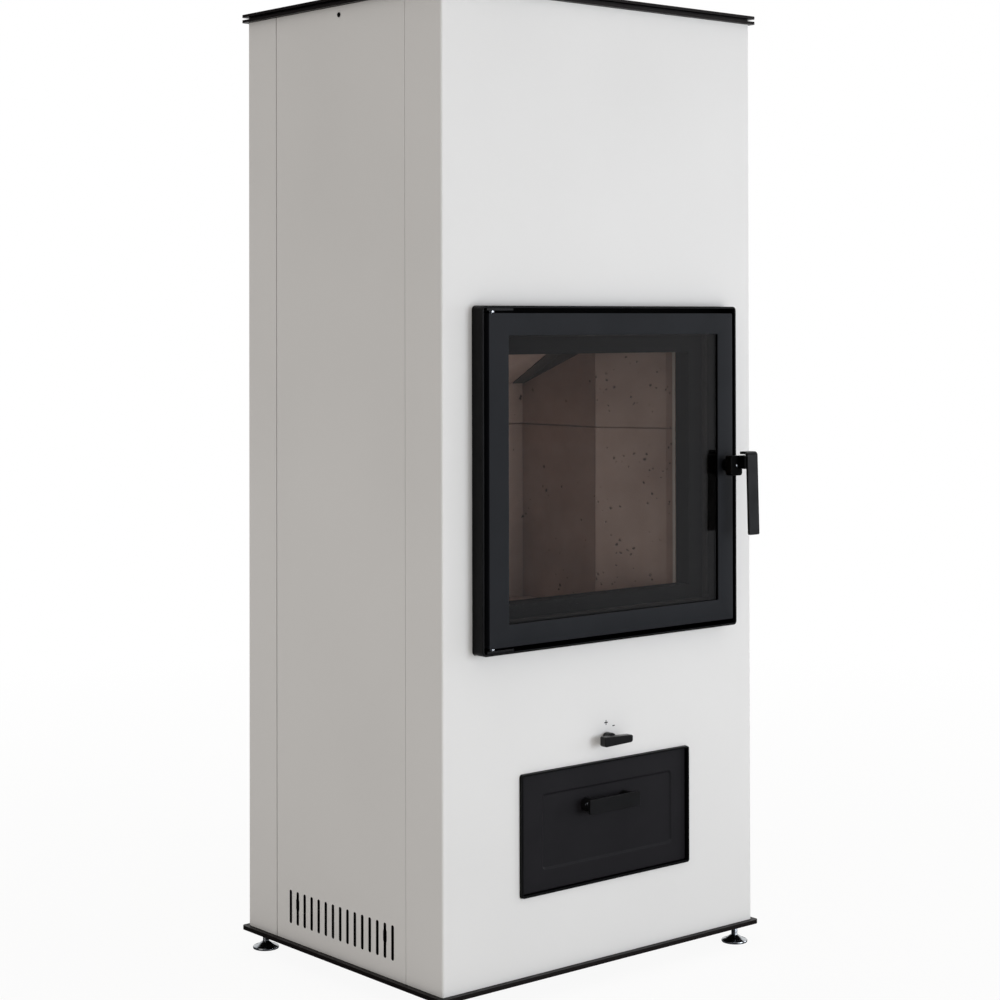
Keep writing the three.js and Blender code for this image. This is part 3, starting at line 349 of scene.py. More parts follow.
# %% [markdown]
# ## Ceramic glass and glass-fibre rope
#
# The pane is glass ceramic, 4 mm thick: it doesn't grow with heat, and it is very slightly amber.
# It must reflect like glass and still let lamp light through to the lining, so a clear shader
# takes the place of the glass one for rays that only ask whether a lamp is in sight.


# %% Glass and rope
def ceramic_glass():
    """Clear amber-grey pane; for shadow rays it is a tinted hole, so that lamps reach inside."""
    material, tree, _, surface = new_finish("ceramic_glass")
    glass = add(tree, "ShaderNodeBsdfPrincipled", {
        "Base Color": linear("#fbf9f7"),
        "Transmission Weight": 1.0,
        "Roughness": 0.01,
        "IOR": 1.5,
    })
    clear = add(tree, "ShaderNodeBsdfTransparent", {"Color": linear("#f9f7f5")})
    seen_by_lamp = add(tree, "ShaderNodeLightPath").outputs["Is Shadow Ray"]
    mix = add(tree, "ShaderNodeMixShader", {0: seen_by_lamp})
    tree.links.new(glass.outputs["BSDF"], mix.inputs[1])
    tree.links.new(clear.outputs["BSDF"], mix.inputs[2])
    tree.links.new(mix.outputs["Shader"], surface)
    return material


WAVES_PER_METRE = 100.0  # a wave texture's bands then lie about 3 mm apart


def braided_rope():
    """Glass-fibre rope: two sets of strands that cross, drawn on the rope's own map."""
    material, tree, _, surface = new_finish("braided_glass_rope")
    along = add(tree, "ShaderNodeUVMap", uv_map="rope_map").outputs["UV"]
    leaning = []
    for lay_angle in (0.7, -0.7):
        turned_map = add(tree, "ShaderNodeMapping",
                         {"Vector": along, "Rotation": (0, 0, lay_angle)})
        strand = add(tree, "ShaderNodeTexWave",
                     {"Vector": turned_map.outputs["Vector"], "Scale": WAVES_PER_METRE})
        leaning.append(strand.outputs["Fac"])
    plait = add(tree, "ShaderNodeMath", {0: leaning[0], 1: leaning[1]},
                operation="MAXIMUM").outputs["Value"]
    shader = add(tree, "ShaderNodeBsdfPrincipled", {
        "Base Color": two_tone(tree, plait, "#141312", "#262422"),
        "Roughness": 0.95,
        "Specular IOR Level": 0.15,
        "Normal": bumped(tree, plait, 0.8, 0.9),
    })
    tree.links.new(shader.outputs["BSDF"], surface)
    return material


# %% [markdown]
# ## Give every solid its finish
#
# The record names a finish for each solid. Where the solid's own shape is right, it keeps its mesh
# and only takes the material made above; the pieces made further down replace theirs.

# %% Finishes by slot
CASING = white_powder_coat()
LEAF_PAINT = silicone_stove_paint("door_stove_paint", "#1e2024", "#1a1c20", roughness=0.5)
DRAWER_PAINT = silicone_stove_paint("drawer_stove_paint", "#1e1d20", "#1b1a1d", roughness=0.46)
BLACK = black_powder_coat()
RIM_BLACK = black_powder_coat("rim_black", "#050506", roughness=0.4, gloss=0.12)
PLATE_BLACK = black_powder_coat("plate_black", "#15100f", roughness=0.45, gloss=0.15)
# Painted shade: a darker, nearly glossless black for the throat's parts and the slots' walls.
PAINTED_SHADE_BLACK = black_powder_coat("painted_shade_black", "#040404", roughness=0.6, gloss=0.05,
                                 peel_mm=0.003)
LEVER_BLACK = black_powder_coat("lever_black", "#141415", roughness=0.32)
HUB_BLACK = black_powder_coat("hub_black", "#020202", roughness=0.3, gloss=0.1)
# Painted shade: dark steel for the baffle's angles, which darken the band along its sides.
PAINTED_SHADE_STEEL = black_powder_coat("painted_shade_steel", "#443f39", roughness=0.8, gloss=0.2)
DARK_STEEL = heat_darkened_steel()
ZINC = bright_zinc()
IRON = sand_cast_iron()
STONE = ("#aa9589", "#968176")
LINING = refractory_concrete("refractory_concrete", *STONE)
CHEEK_STONE = refractory_concrete("porous_refractory", *STONE, pore_gap_mm=11, closed_below=0.38)
# Painted highlight: pale stone for the thin strips on the cheeks' edges by the door.
PAINTED_HIGHLIGHT_STONE = refractory_concrete("painted_highlight_stone", "#c6c3ba", "#bab6ac")
STORE = refractory_concrete("storing_stone", "#8d877c", "#6f6a61", pore_gap_mm=24)
GLASS = ceramic_glass()
ROPE = braided_rope()

BY_SLOT = {
    "white_panels": CASING, "black_steel": BLACK, "door_steel": LEAF_PAINT,
    "raw_steel": DARK_STEEL, "bright_steel": ZINC, "cast_iron": IRON,
    "refractory": LINING, "storing_stone": STORE, "rope": ROPE, "glass": GLASS,
}
SLOT_OF = {row["node"]: row["material_slot"] for row in frame["record"]["subparts"]}
BODIES = frame["record"]["behaviour"]["bodies"]
BODY_OF = {node: body for body, nodes in BODIES.items() for node in nodes}


def paint(thing, material):
    """Makes the material the only one on a piece."""
    thing.data.materials.clear()
    thing.data.materials.append(material)


for node_name, node_object in frame["nodes"].items():
    paint(node_object, BY_SLOT[SLOT_OF[node_name]])
for node_name in ("base_plate", "top_plate_lower", "top_spacer", "top_plate_upper"):
    paint(frame["nodes"][node_name], PLATE_BLACK)
# The throat's parts behind the leaf take the painted shade black.
for node_name in ("glass_seal", "glass_retainer", "door_frame"):
    paint(frame["nodes"][node_name], PAINTED_SHADE_BLACK)
print(len(frame["nodes"]), "solids painted with", len(BY_SLOT), "finishes")

# %% [markdown]
# ## Surfaces from grids of points
#
# Every new piece is a grid of points: rows along one direction of the surface, columns along the
# other. One function turns such a grid into quads, closes it where it must be closed, welds the
# points that meet in a pole and makes sure the faces look outwards.


# %% Grid to mesh
WELD = 1e-6  # points nearer than a thousandth of a millimetre are one
SHARP_ANGLE = math.radians(32)  # faces that meet more steeply keep a sharp edge


def shell(grids):
    """Meshes (rows, columns, 3) grids. Each is (grid, rows close up, ends are capped).
    Columns always close up. A cap is one flat face on the first or the last row."""
    vertices, faces, start = [], [], 0
    for grid, loops, capped in grids:
        rows, columns = grid.shape[:2]
        index = start + np.arange(rows * columns).reshape(rows, columns)
        ends = [index[0][::-1].tolist(), index[-1].tolist()]
        index = np.hstack([index, index[:, :1]])
        if loops:
            index = np.vstack([index, index[:1]])
        quads = np.stack([index[:-1, :-1], index[:-1, 1:], index[1:, 1:], index[1:, :-1]], -1)
        faces += quads.reshape(-1, 4).tolist() + (ends if capped else [])
        vertices.append(grid.reshape(-1, 3))
        start += rows * columns
    return np.concatenate(vertices), faces


def piece(name, grids, material, stands_for, body=None, bevel_mm=0.0):
    """Builds a closed piece at its place in the frame, rides it on its body, hides its solids."""
    vertices, faces = shell(grids)
    mesh = bpy.data.meshes.new(name)
    mesh.from_pydata(vertices.tolist(), [], faces)
    work = bmesh.new()
    work.from_mesh(mesh)
    bmesh.ops.remove_doubles(work, verts=work.verts, dist=WELD)
    bmesh.ops.dissolve_degenerate(work, edges=work.edges, dist=1e-7)
    bmesh.ops.recalc_face_normals(work, faces=work.faces)
    work.to_mesh(mesh)
    work.free()
    return dress(name, mesh, material, stands_for, body, bevel_mm)


def dress(name, mesh, material, stands_for, body=None, bevel_mm=0.0):
    """Finishes a mesh: soft edges, smooth shading, material, body and the solids it stands for."""
    made = bpy.data.objects.new(name, mesh)
    bpy.context.scene.collection.objects.link(made)
    mesh.shade_smooth()
    mesh.set_sharp_from_angle(angle=SHARP_ANGLE)
    if bevel_mm:
        edge = made.modifiers.new("eased_edges", "BEVEL")
        edge.width = bevel_mm * MM
        edge.segments = 3
        edge.limit_method = "ANGLE"
        edge.angle_limit = SHARP_ANGLE
        edge.harden_normals = True
    paint(made, material)
    first = stands_for[0] if stands_for else None
    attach(made, body or BODY_OF[first])
    if stands_for:
        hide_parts(*stands_for)
    print(name, "has", len(mesh.polygons), "faces")
    return made


# %% [markdown]
# ## Outlines and sections
#
# Three outlines cover most of the stove: a rectangle with round corners, a section whose sharp
# corners are eased as folding and grinding leave them, and a profile turned on a lathe.


# %% Outlines
def rounded_rectangle(x0, x1, z0, z1, radius, steps=8):
    """A closed loop of four quarter circles, whose centres lie a radius in from each corner."""
    angle = np.add.outer(np.radians([-90, 0, 90, 180]), np.linspace(0, np.pi / 2, steps + 1))
    centre_x = np.array([x1 - radius, x1 - radius, x0 + radius, x0 + radius])[:, None]
    centre_z = np.array([z0 + radius, z1 - radius, z1 - radius, z0 + radius])[:, None]
    loop = np.stack([centre_x + radius * np.cos(angle), centre_z + radius * np.sin(angle)], -1)
    return loop.reshape(-1, 2)


def eased(points, radius, steps=4):
    """Each corner P becomes a parabola from A to B, its points (1-s)^2 A + 2s(1-s) P + s^2 B,
    where A and B lie one radius from P along its two sides."""
    points = np.asarray(points, float)
    radius = np.broadcast_to(radius, len(points))[:, None]
    back, ahead = np.roll(points, 1, 0) - points, np.roll(points, -1, 0) - points
    a = (points + back / np.linalg.norm(back, axis=1, keepdims=True) * radius)[:, None]
    b = (points + ahead / np.linalg.norm(ahead, axis=1, keepdims=True) * radius)[:, None]
    s = np.linspace(0, 1, steps + 1)[None, :, None]
    return ((1 - s) ** 2 * a + 2 * s * (1 - s) * points[:, None] + s ** 2 * b).reshape(-1, 2)


def framed(outer, inner, section, steps=8):
    """A section carried round a frame: its first value is 0 on the outer outline and 1 on the
    inner one, its second the depth. Outlines between the two are mixed point by point."""
    share, depth = section[:, 0, None, None], section[:, 1, None]
    loops = (rounded_rectangle(*outer, steps) * (1 - share)
             + rounded_rectangle(*inner, steps) * share)
    return np.stack([loops[..., 0], np.broadcast_to(depth, loops.shape[:2]), loops[..., 1]], -1)


def stacked(loops, depths):
    """Flat loops in x and z, one behind the other at the given depths."""
    loops, depths = np.asarray(loops), np.asarray(depths, float)[:, None]
    return np.stack([loops[..., 0], np.broadcast_to(depths, loops.shape[:2]), loops[..., 1]], -1)


def lathed(profile, centre, axis, sides=64):
    """A profile of (radius, distance) turned about an axis through centre: every point is
    centre + radius * (cos a, sin a) across the axis + distance along it."""
    profile = np.asarray(profile, float)
    turn = np.linspace(0, 2 * np.pi, sides, endpoint=False)
    round_trip = profile[:, 0, None] * np.array([np.cos(turn), np.sin(turn)])[:, None]
    along = np.broadcast_to(profile[:, 1, None], round_trip.shape[1:])
    order = {"x": (along, *round_trip), "y": (round_trip[1], along, round_trip[0]),
             "z": (*round_trip, along)}
    return np.stack(order[axis], -1) + np.asarray(centre, float)


print("a rounded rectangle has", len(rounded_rectangle(0, 1, 0, 1, 0.1)), "points")

# %% [markdown]
# ## The rims round the door and the drawer
#
# Each rim is a strip of 3 mm steel bent to a closed frame on edge, welded and ground. Light runs
# along its ground front edge, so the section gets edges eased by six tenths of a millimetre.


# %% Rims
RIM_EASE = 0.6 * MM


def rim(name, node, wall_mm, corner_mm):
    """A strip on edge, carried round the opening; its section is a rectangle with eased edges."""
    (x0, y0, z0), (x1, y1, z1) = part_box(node)
    wall = wall_mm * MM
    outer = (x0, x1, z0, z1, corner_mm * MM)
    inner = (x0 + wall, x1 - wall, z0 + wall, z1 - wall, (corner_mm - wall_mm) * MM)
    section = eased([(0, y0), (wall, y0), (wall, y1), (0, y1)], RIM_EASE)
    section[:, 0] /= wall
    return piece(name, [(framed(outer, inner, section), True, False)], RIM_BLACK, [node])


rim("door_rim", "door_surround", wall_mm=3, corner_mm=6)
rim("drawer_rim", "drawer_surround", wall_mm=3, corner_mm=4)

# %% [markdown]
# ## The door leaf
#
# The leaf is one steel frame with a rabbet behind the window, where the pane lies. Its section has
# six corners: the front face, the window's edge, the rabbet and the back. The window isn't centred
# in the leaf, so the section is given in shares of each bar's own width.

# %% Door leaf
(leaf_x0, leaf_y0, leaf_z0), (leaf_x1, leaf_y1, leaf_z1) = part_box("door_leaf")
WINDOW = (-0.200, 0.208, high(494.5), high(889.8))
BAR, LEAF_CORNER = 31 * MM, 1.5 * MM
LAP, LIP = 6.7 * MM, 1.5 * MM  # how far the window's edge laps over the pane, and how thick it is
leaf_section = eased([
    (0, leaf_y0), (BAR, leaf_y0), (BAR, leaf_y0 + LIP), (BAR - LAP, leaf_y0 + LIP),
    (BAR - LAP, leaf_y1), (0, leaf_y1),
], [0.5 * MM, 0.5 * MM, 0.3 * MM, 0.3 * MM, 0.3 * MM, 0.8 * MM])
leaf_section[:, 0] /= BAR
leaf_outline = (leaf_x0, leaf_x1, leaf_z0, leaf_z1, LEAF_CORNER)
leaf_grid = framed(leaf_outline, (*WINDOW, LEAF_CORNER), leaf_section)
piece("door_leaf_frame", [(leaf_grid, True, False)], LEAF_PAINT, ["door_leaf"])

# %% [markdown]
# ## The rope seal
#
# Behind the pane's retainer lies a glass-fibre rope, pressed oval by the door frame. It is a closed
# loop with a round section, and it carries its own map: along the rope and round it, in metres, so
# that the plait keeps its size all the way.

# %% Rope seal
(rope_x0, rope_y0, rope_z0), (rope_x1, rope_y1, rope_z1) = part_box("rope_seal")
ROPE_WIDTH, OUTER_BEND, INNER_BEND = 8 * MM, 12 * MM, 4 * MM
PRESSED = 0.75  # the power that makes the round section fuller at its corners; 1 is a true ellipse

# A superellipse: cosine and sine keep their signs, and their sizes are raised to the power.
around = np.linspace(0, 2 * np.pi, 20, endpoint=False)
superellipse = np.stack([np.cos(around), np.sin(around)], -1)
superellipse = np.sign(superellipse) * np.abs(superellipse) ** PRESSED
rope_depth = (rope_y0 + rope_y1) / 2 + superellipse[:, 1] * (rope_y1 - rope_y0) / 2
rope_section = np.stack([0.5 + superellipse[:, 0] / 2, rope_depth], -1)
rope_outside = (rope_x0, rope_x1, rope_z0, rope_z1, OUTER_BEND)
rope_inside = (rope_x0 + ROPE_WIDTH, rope_x1 - ROPE_WIDTH,
               rope_z0 + ROPE_WIDTH, rope_z1 - ROPE_WIDTH, INNER_BEND)
rope_grid = framed(rope_outside, rope_inside, rope_section, steps=10)
rope = piece("door_rope", [(rope_grid, True, False)], ROPE, ["rope_seal"])


def map_rope(mesh):
    """Each corner's u is its way along the rope: z on the upright lengths and x on the level ones.
    Its v crosses the rope: the distance from the door's middle line plus y. Both are in metres."""
    corners = np.empty(len(mesh.loops), int)
    mesh.loops.foreach_get("vertex_index", corners)
    points = np.empty(len(mesh.vertices) * 3)
    mesh.vertices.foreach_get("co", points)
    points = points.reshape(-1, 3)[corners]
    low, top = np.array(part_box("rope_seal")[0]), np.array(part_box("rope_seal")[1])
    centre, half = (low + top) / 2, (top - low) / 2
    offset = np.abs(points - centre)
    upright_length = offset[:, 0] / half[0] > offset[:, 2] / half[2]
    way = np.where(upright_length, points[:, 2], points[:, 0])
    outward = np.where(upright_length, offset[:, 0], offset[:, 2])
    flat = np.stack([way, outward + points[:, 1]], -1)
    mesh.uv_layers.new(name="rope_map").data.foreach_set("uv", flat.ravel())


map_rope(rope.data)

# %% [markdown]
# ## The lever of the door
#
# A boss on a round neck sits on the latch shaft. A short arm laps over it and carries a flat bar,
# bent back at its top, that hangs beside it: the hand takes it from the front and the fingers
# close behind it. The bar is a section carried along a bent line.


# %% Door lever
def bent_bar(line, normals, thickness, edges):
    """A flat bar: for each point P of the line and its normal N, four corners P and P + t N at
    the two x values of its edges, so rows follow the line and columns go round the section."""
    line = np.asarray(line, float)
    back = line + np.asarray(normals, float) * thickness
    left, right = np.asarray(edges, float).T
    corners = [(left, line), (right, line), (right, back), (left, back)]
    return np.stack([np.column_stack([x, p]) for x, p in corners], 1)


LEVER_X, LEVER_Z = 0.224, high(694.3)
GRIP_TOP, GRIP_FOOT, GRIP_X = high(715), high(592), (0.2319, 0.2531)
GRIP_THICK, BEND, CORNER, GRIP_Y = 3.8 * MM, 6 * MM, 2.5 * MM, deep(-60)
TOP_REACH = 16 * MM  # how far the grip's top runs back towards the door
ARC = 9  # points on a quarter circle

foot_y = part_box("handle_grip")[0][1]
turn = np.linspace(0, np.pi / 2, ARC)
elbow = np.array([GRIP_Y + BEND, GRIP_TOP - BEND])
foot_rise = CORNER * (1 - np.cos(turn))
foot_inset = CORNER * (1 - np.sin(turn))
front_line = np.concatenate([
    np.stack([np.full(ARC, foot_y), GRIP_FOOT + foot_rise], -1),
    elbow + BEND * np.stack([-np.cos(turn), np.sin(turn)], -1),
    [[GRIP_Y + TOP_REACH, GRIP_TOP]],
])
rise = front_line[ARC] - front_line[0]
front_line[:ARC, 0] += foot_rise * rise[0] / rise[1]
lean = np.array([rise[1], -rise[0]]) / np.linalg.norm(rise)
inward = np.concatenate([
    np.tile(lean, (ARC, 1)), np.stack([np.cos(turn), -np.sin(turn)], -1), [[0, -1]]])
inward[ARC] = lean
inset = np.concatenate([foot_inset, np.zeros(ARC + 1)])
grip_edges = np.stack([GRIP_X[0] + inset, GRIP_X[1] - inset], -1)
grip = bent_bar(front_line, inward, GRIP_THICK, grip_edges)
piece("door_lever", [(grip, False, True)], LEVER_BLACK, ["handle_grip"], bevel_mm=0.5)

# %% [markdown]
# ## The lever's arm and hub
#
# The arm's plan has six corners: it is broad in front of the boss and narrow beside it. The boss is
# a block with round corners, and the neck behind it is a short turned bar, so both make one piece.

# %% Lever arm and hub
ARM_FRONT, ARM_STEP, ARM_BACK = deep(-57.6), deep(-45.3), deep(-38)
ARM_FOOT, ARM_TOP = high(689.7), high(708.9)
BOSS_HALF_X, BOSS_HALF_Z, BOSS_CORNER = 0.012, 0.0148, 4 * MM
BOSS_FRONT, BOSS_BACK = deep(-45), deep(-33)
NECK, NECK_FRONT, NECK_BACK = 0.009, deep(-33.5), deep(-22.4)

arm_plan = np.array([(0.228, ARM_FRONT), (0.251, ARM_FRONT), (0.251, ARM_BACK),
                     (0.2363, ARM_BACK), (0.2363, ARM_STEP), (0.228, ARM_STEP)])
arm = np.stack([np.column_stack([arm_plan, np.full(6, z)]) for z in (ARM_FOOT, ARM_TOP)])
piece("lever_arm", [(arm, False, True)], HUB_BLACK, [],
      body=BODY_OF["handle_grip"], bevel_mm=1.0)
boss = rounded_rectangle(LEVER_X - BOSS_HALF_X, LEVER_X + BOSS_HALF_X,
                         LEVER_Z - BOSS_HALF_Z, LEVER_Z + BOSS_HALF_Z, BOSS_CORNER)
boss_grid = stacked([boss, boss], [BOSS_FRONT, BOSS_BACK])
neck_profile = [(0, NECK_FRONT), (NECK, NECK_FRONT), (NECK, NECK_BACK), (0, NECK_BACK)]
neck = lathed(neck_profile, (LEVER_X, 0, LEVER_Z), "y")
piece("lever_hub", [(boss_grid, False, True), (neck, False, False)],
      HUB_BLACK, ["handle_hub"], bevel_mm=0.8)

# %% [markdown]
# ## The ash drawer's front
#
# The front is a pressed panel: a shallow field sits two millimetres behind its border. A stack of
# outlines, each a little further back or in, gives the border, the slope and the field in one skin.
# Outlines close to each other on the flat parts keep the shading flat right up to the slope.

# %% Drawer front
(front_x0, front_y0, front_z0), (front_x1, front_y1, front_z1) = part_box("drawer_front")
FIELD = (-0.120, 0.130, high(143.5), high(247.5))
EASE = 0.8 * MM


def grown(outline, by, radius):
    """A rounded rectangle whose four sides lie further out by the distance by."""
    x0, x1, z0, z1 = outline
    return rounded_rectangle(x0 - by, x1 + by, z0 - by, z1 + by, radius)


panel = (front_x0, front_x1, front_z0, front_z1)
panel_loops = [
    grown(panel, -0.4 * MM, 1.6 * MM), grown(panel, 0, 2 * MM), grown(panel, 0, 2 * MM),
    grown(panel, -0.25 * EASE, 2 * MM), grown(panel, -EASE, 2 * MM),
    grown(panel, -2 * EASE, 2 * MM), grown(FIELD, 2.0 * MM, 6 * MM),
    grown(FIELD, 1.2 * MM, 6 * MM), grown(FIELD, 0.5 * MM, 5.5 * MM),
    grown(FIELD, -0.9 * MM, 4.5 * MM), grown(FIELD, -1.6 * MM, 4 * MM),
    grown(FIELD, -2.4 * MM, 4 * MM),
]
panel_depths = [front_y1, front_y1 - 0.4 * MM, front_y0 + EASE, front_y0 + 0.25 * EASE, front_y0,
                front_y0, front_y0, front_y0, front_y0 + 0.2 * MM,
                front_y0 + 1.6 * MM, front_y0 + 1.8 * MM, front_y0 + 1.8 * MM]
panel_grid = stacked(panel_loops, panel_depths)
piece("drawer_panel", [(panel_grid, False, True)], DRAWER_PAINT, ["drawer_front"])

# %% [markdown]
# ## The drawer's handle
#
# The handle is a flat strap on two turned posts, held by a grub screw in the left one. The posts
# reach a little way into the strap and into the front, so that no gap shows.

# %% Drawer handle
(strap_x0, strap_y0, strap_z0), (strap_x1, _, strap_z1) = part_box("drawer_handle")
STRAP_THICK, STRAP_CORNER = 4 * MM, 2 * MM
POST, POST_X = 0.010, 0.037
strap = rounded_rectangle(strap_x0, strap_x1, strap_z0, strap_z1, STRAP_CORNER)
strap_grid = stacked([strap, strap], [strap_y0, strap_y0 + STRAP_THICK])
post_front, post_back = strap_y0 + 3 * MM, front_y0 + 3.2 * MM
post_profile = [(0, post_front), (POST, post_front), (POST, post_back), (0, post_back)]
post_z = (strap_z0 + strap_z1) / 2
posts = [lathed(post_profile, (x, 0, post_z), "y", 40) for x in (-POST_X, POST_X)]
piece("drawer_pull", [(strap_grid, False, True)] + [(post, False, False) for post in posts],
      LEVER_BLACK, ["drawer_handle"], bevel_mm=0.6)

# %% [markdown]
# ## The air knob
#
# A round hub stands on the spindle, and a bar is fixed across it, taller at its left end than at
# its right. The bar's outline has four corners, and each is eased by an amount of its own.

# %% Air knob
(_, knob_y0, _), (_, knob_y1, _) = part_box("air_knob")
KNOB_Z, HUB = high(312), 9 * MM
hub_front, bar_back = knob_y0 + 11 * MM, knob_y0 + 12 * MM
bar_corners = np.array([(-23, -7.6), (31, -6.0), (31, 4.4), (-23, 6.8)]) * MM + [0, KNOB_Z]
bar = eased(bar_corners, [3.5 * MM, 4.5 * MM, 3.0 * MM, 2.5 * MM], steps=6)
bar_grid = stacked([bar, bar], [knob_y0, bar_back])
hub_profile = [(0, hub_front), (HUB, hub_front), (HUB, knob_y1), (0, knob_y1)]
knob_hub = lathed(hub_profile, (0, 0, KNOB_Z), "y", 40)
bar_and_hub = [(bar_grid, False, True), (knob_hub, False, False)]
piece("air_lever", bar_and_hub, LEVER_BLACK, ["air_knob"], bevel_mm=1.2)

# %% [markdown]
# ## The levelling feet
#
# Each foot is a turned steel disc on a threaded stud, bright zinc. Its profile rises from the pad
# over a small bead to a cone and a neck. The thread is too fine for the picture, so rings stand in
# for it on the short length under the base plate.

# %% Levelling feet
STUD, STUD_TOP, THREAD_DEPTH, THREAD_POINTS = 4.8 * MM, 50, 0.25 * MM, 62
thread_z = np.linspace(11.5, STUD_TOP, THREAD_POINTS) * MM
thread = np.stack([STUD - THREAD_DEPTH * (np.arange(THREAD_POINTS) % 2), thread_z], -1)
disc_profile = np.array([
    (0, 0), (18, 0), (19.2, 0.3), (19.5, 1.2), (19.5, 2.6), (19.0, 3.4), (17.2, 4.2),
    (14.2, 5.2), (11.0, 6.9), (8.9, 8.4), (7.0, 9.6), (5.6, 10.2), (4.9, 11.0)]) * MM
foot_profile = np.concatenate([disc_profile, thread, [[0, STUD_TOP * MM]]])
for node_name in [n for n in frame["nodes"] if n.startswith("levelling_foot")]:
    low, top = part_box(node_name)
    middle = ((low[0] + top[0]) / 2, (low[1] + top[1]) / 2, 0)
    foot_name = node_name.replace("levelling_foot", "zinc_foot")
    piece(foot_name, [(lathed(foot_profile, middle, "z", 56), False, False)], ZINC, [node_name])

# %% [markdown]
# ## Round sheet-metal parts
#
# The flue pipe and the air spigot are rolled tubes with a flange. Both flanges are inside the
# casing: one stands on the firebox's shell, the other lies against the pedestal's back. Each tube
# is a closed profile turned about an axis, with its wall as a real thickness.

# %% Flue pipe and air spigot
(pipe_x0, pipe_y0, pipe_z0), (pipe_x1, pipe_y1, pipe_z1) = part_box("flue_pipe")
PIPE, PIPE_WALL, FLANGE = 75 * MM, 2 * MM, 94 * MM
seat = high(989.3)
pipe_profile = eased([
    (PIPE - PIPE_WALL, pipe_z0), (PIPE, pipe_z0), (PIPE, seat), (FLANGE, seat),
    (FLANGE, seat + 3 * MM), (PIPE, seat + 3 * MM), (PIPE, pipe_z1), (PIPE - PIPE_WALL, pipe_z1),
], 0.5 * MM)
pipe_grid = lathed(pipe_profile, ((pipe_x0 + pipe_x1) / 2, (pipe_y0 + pipe_y1) / 2, 0), "z", 72)
piece("flue_collar", [(pipe_grid, True, False)], BLACK, ["flue_pipe"])

(duct_x0, duct_y0, duct_z0), (duct_x1, duct_y1, duct_z1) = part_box("air_spigot")
DUCT, DUCT_WALL, DUCT_FLANGE = 50 * MM, 1.5 * MM, 65 * MM
flange_y0, flange_y1 = deep(400.3), deep(403.3)
duct_profile = eased([
    (DUCT - DUCT_WALL, duct_y0), (DUCT, duct_y0), (DUCT, flange_y0), (DUCT_FLANGE, flange_y0),
    (DUCT_FLANGE, flange_y1), (DUCT, flange_y1), (DUCT, duct_y1), (DUCT - DUCT_WALL, duct_y1),
], 0.4 * MM)
duct_grid = lathed(duct_profile, ((duct_x0 + duct_x1) / 2, 0, (duct_z0 + duct_z1) / 2), "y", 64)
piece("air_duct", [(duct_grid, True, False)], BLACK, ["air_spigot"])

# %% [markdown]
# ## Screws
#
# Small bright grub screws hold the lever's hub and the drawer's pull, and black button screws hold
# the side panels. A button head is a low dome with a round socket sunk into it.


# %% Screw heads
def button(centre, axis, outward, radius, rise, socket):
    """A domed head whose profile rises as a quarter ellipse, then drops into the socket."""
    t = np.linspace(0, 1, 8) * np.pi / 2
    socket_edge = np.array([[socket, rise * 0.98], [socket * 0.96, rise * 0.4], [0, rise * 0.4]])
    dome = np.stack([socket + (radius - socket) * np.cos(t), rise * np.sin(t)], -1)
    profile = np.concatenate([[[0, 0]], dome, socket_edge])
    return lathed(profile * [1, outward], centre, axis, 30)


lever_screw = button((LEVER_X, deep(-45.2), LEVER_Z), "y", outward=-1,
                     radius=2.6 * MM, rise=1.4 * MM, socket=1.1 * MM)
piece("lever_grub_screw", [(lever_screw, False, False)], ZINC, ["handle_screw"])
pull_profile = np.array([(0, -47.3), (1.2, -47.3), (1.3, -46.5), (2.0, -47.0),
                         (2.4, -46.6), (2.4, -37.4), (0, -37.4)]) * MM
pull_screw = lathed(pull_profile, (0, deep(-9.5), high(225.5)), "x", 24)
piece("pull_grub_screw", [(pull_screw, False, False)], ZINC, ["drawer_handle_screw"])
SCREW_FACE, SCREW_Y, SCREW_Z = 0.3003, deep(234), high(1348)
for side, sign in (("left", -1), ("right", 1)):
    head = button((sign * SCREW_FACE, SCREW_Y, SCREW_Z), "x", outward=sign,
                  radius=3.6 * MM, rise=1.6 * MM, socket=1.4 * MM)
    piece(f"panel_screw_{side}", [(head, False, False)], BLACK, [f"side_panel_screw_{side}"])

# %% [markdown]
# ## Blocks with eased edges
#
# Cast blocks and sawn stones never have knife edges. A copy of the solid's mesh is welded, its
# flat faces are joined, and a bevel of the right size for the material is put on.


# %% Eased copies
def eased_copy(node, bevel_mm, material):
    """A welded copy of a solid whose coplanar triangles are merged, with a bevel on its edges."""
    mesh = frame["nodes"][node].data.copy()
    work = bmesh.new()
    work.from_mesh(mesh)
    bmesh.ops.remove_doubles(work, verts=work.verts, dist=2 * WELD)
    bmesh.ops.dissolve_limit(work, angle_limit=math.radians(0.5),
                             verts=work.verts, edges=work.edges)
    work.to_mesh(mesh)
    work.free()
    return dress(f"{node}_eased", mesh, material, [node], bevel_mm=bevel_mm)


CAST_EDGE_MM, SAWN_EDGE_MM = 1.2, 2.0
LINING_BLOCKS = [n for n, slot in SLOT_OF.items() if slot == "refractory"]
for block in LINING_BLOCKS:
    eased_copy(block, CAST_EDGE_MM, CHEEK_STONE if block.startswith("cheek") else LINING)
for stone in [n for n, slot in SLOT_OF.items() if slot == "storing_stone"]:
    eased_copy(stone, SAWN_EDGE_MM, STORE)
print(len(LINING_BLOCKS), "lining blocks eased")

# %% [markdown]
# ## Where the baffle rests
#
# The sloping baffle lies on two steel angles. Their flanges lie under the plate and their upright
# legs on the side blocks, and both get broader towards the front. Their dark steel is painted
# shade:
# it darkens the band along the baffle's sides where shade falls. Each angle is a section with six
# corners, carried straight from its back end to its front end. In front of it, a thin pale strip on
# each cheek's edge by the door is a painted highlight.


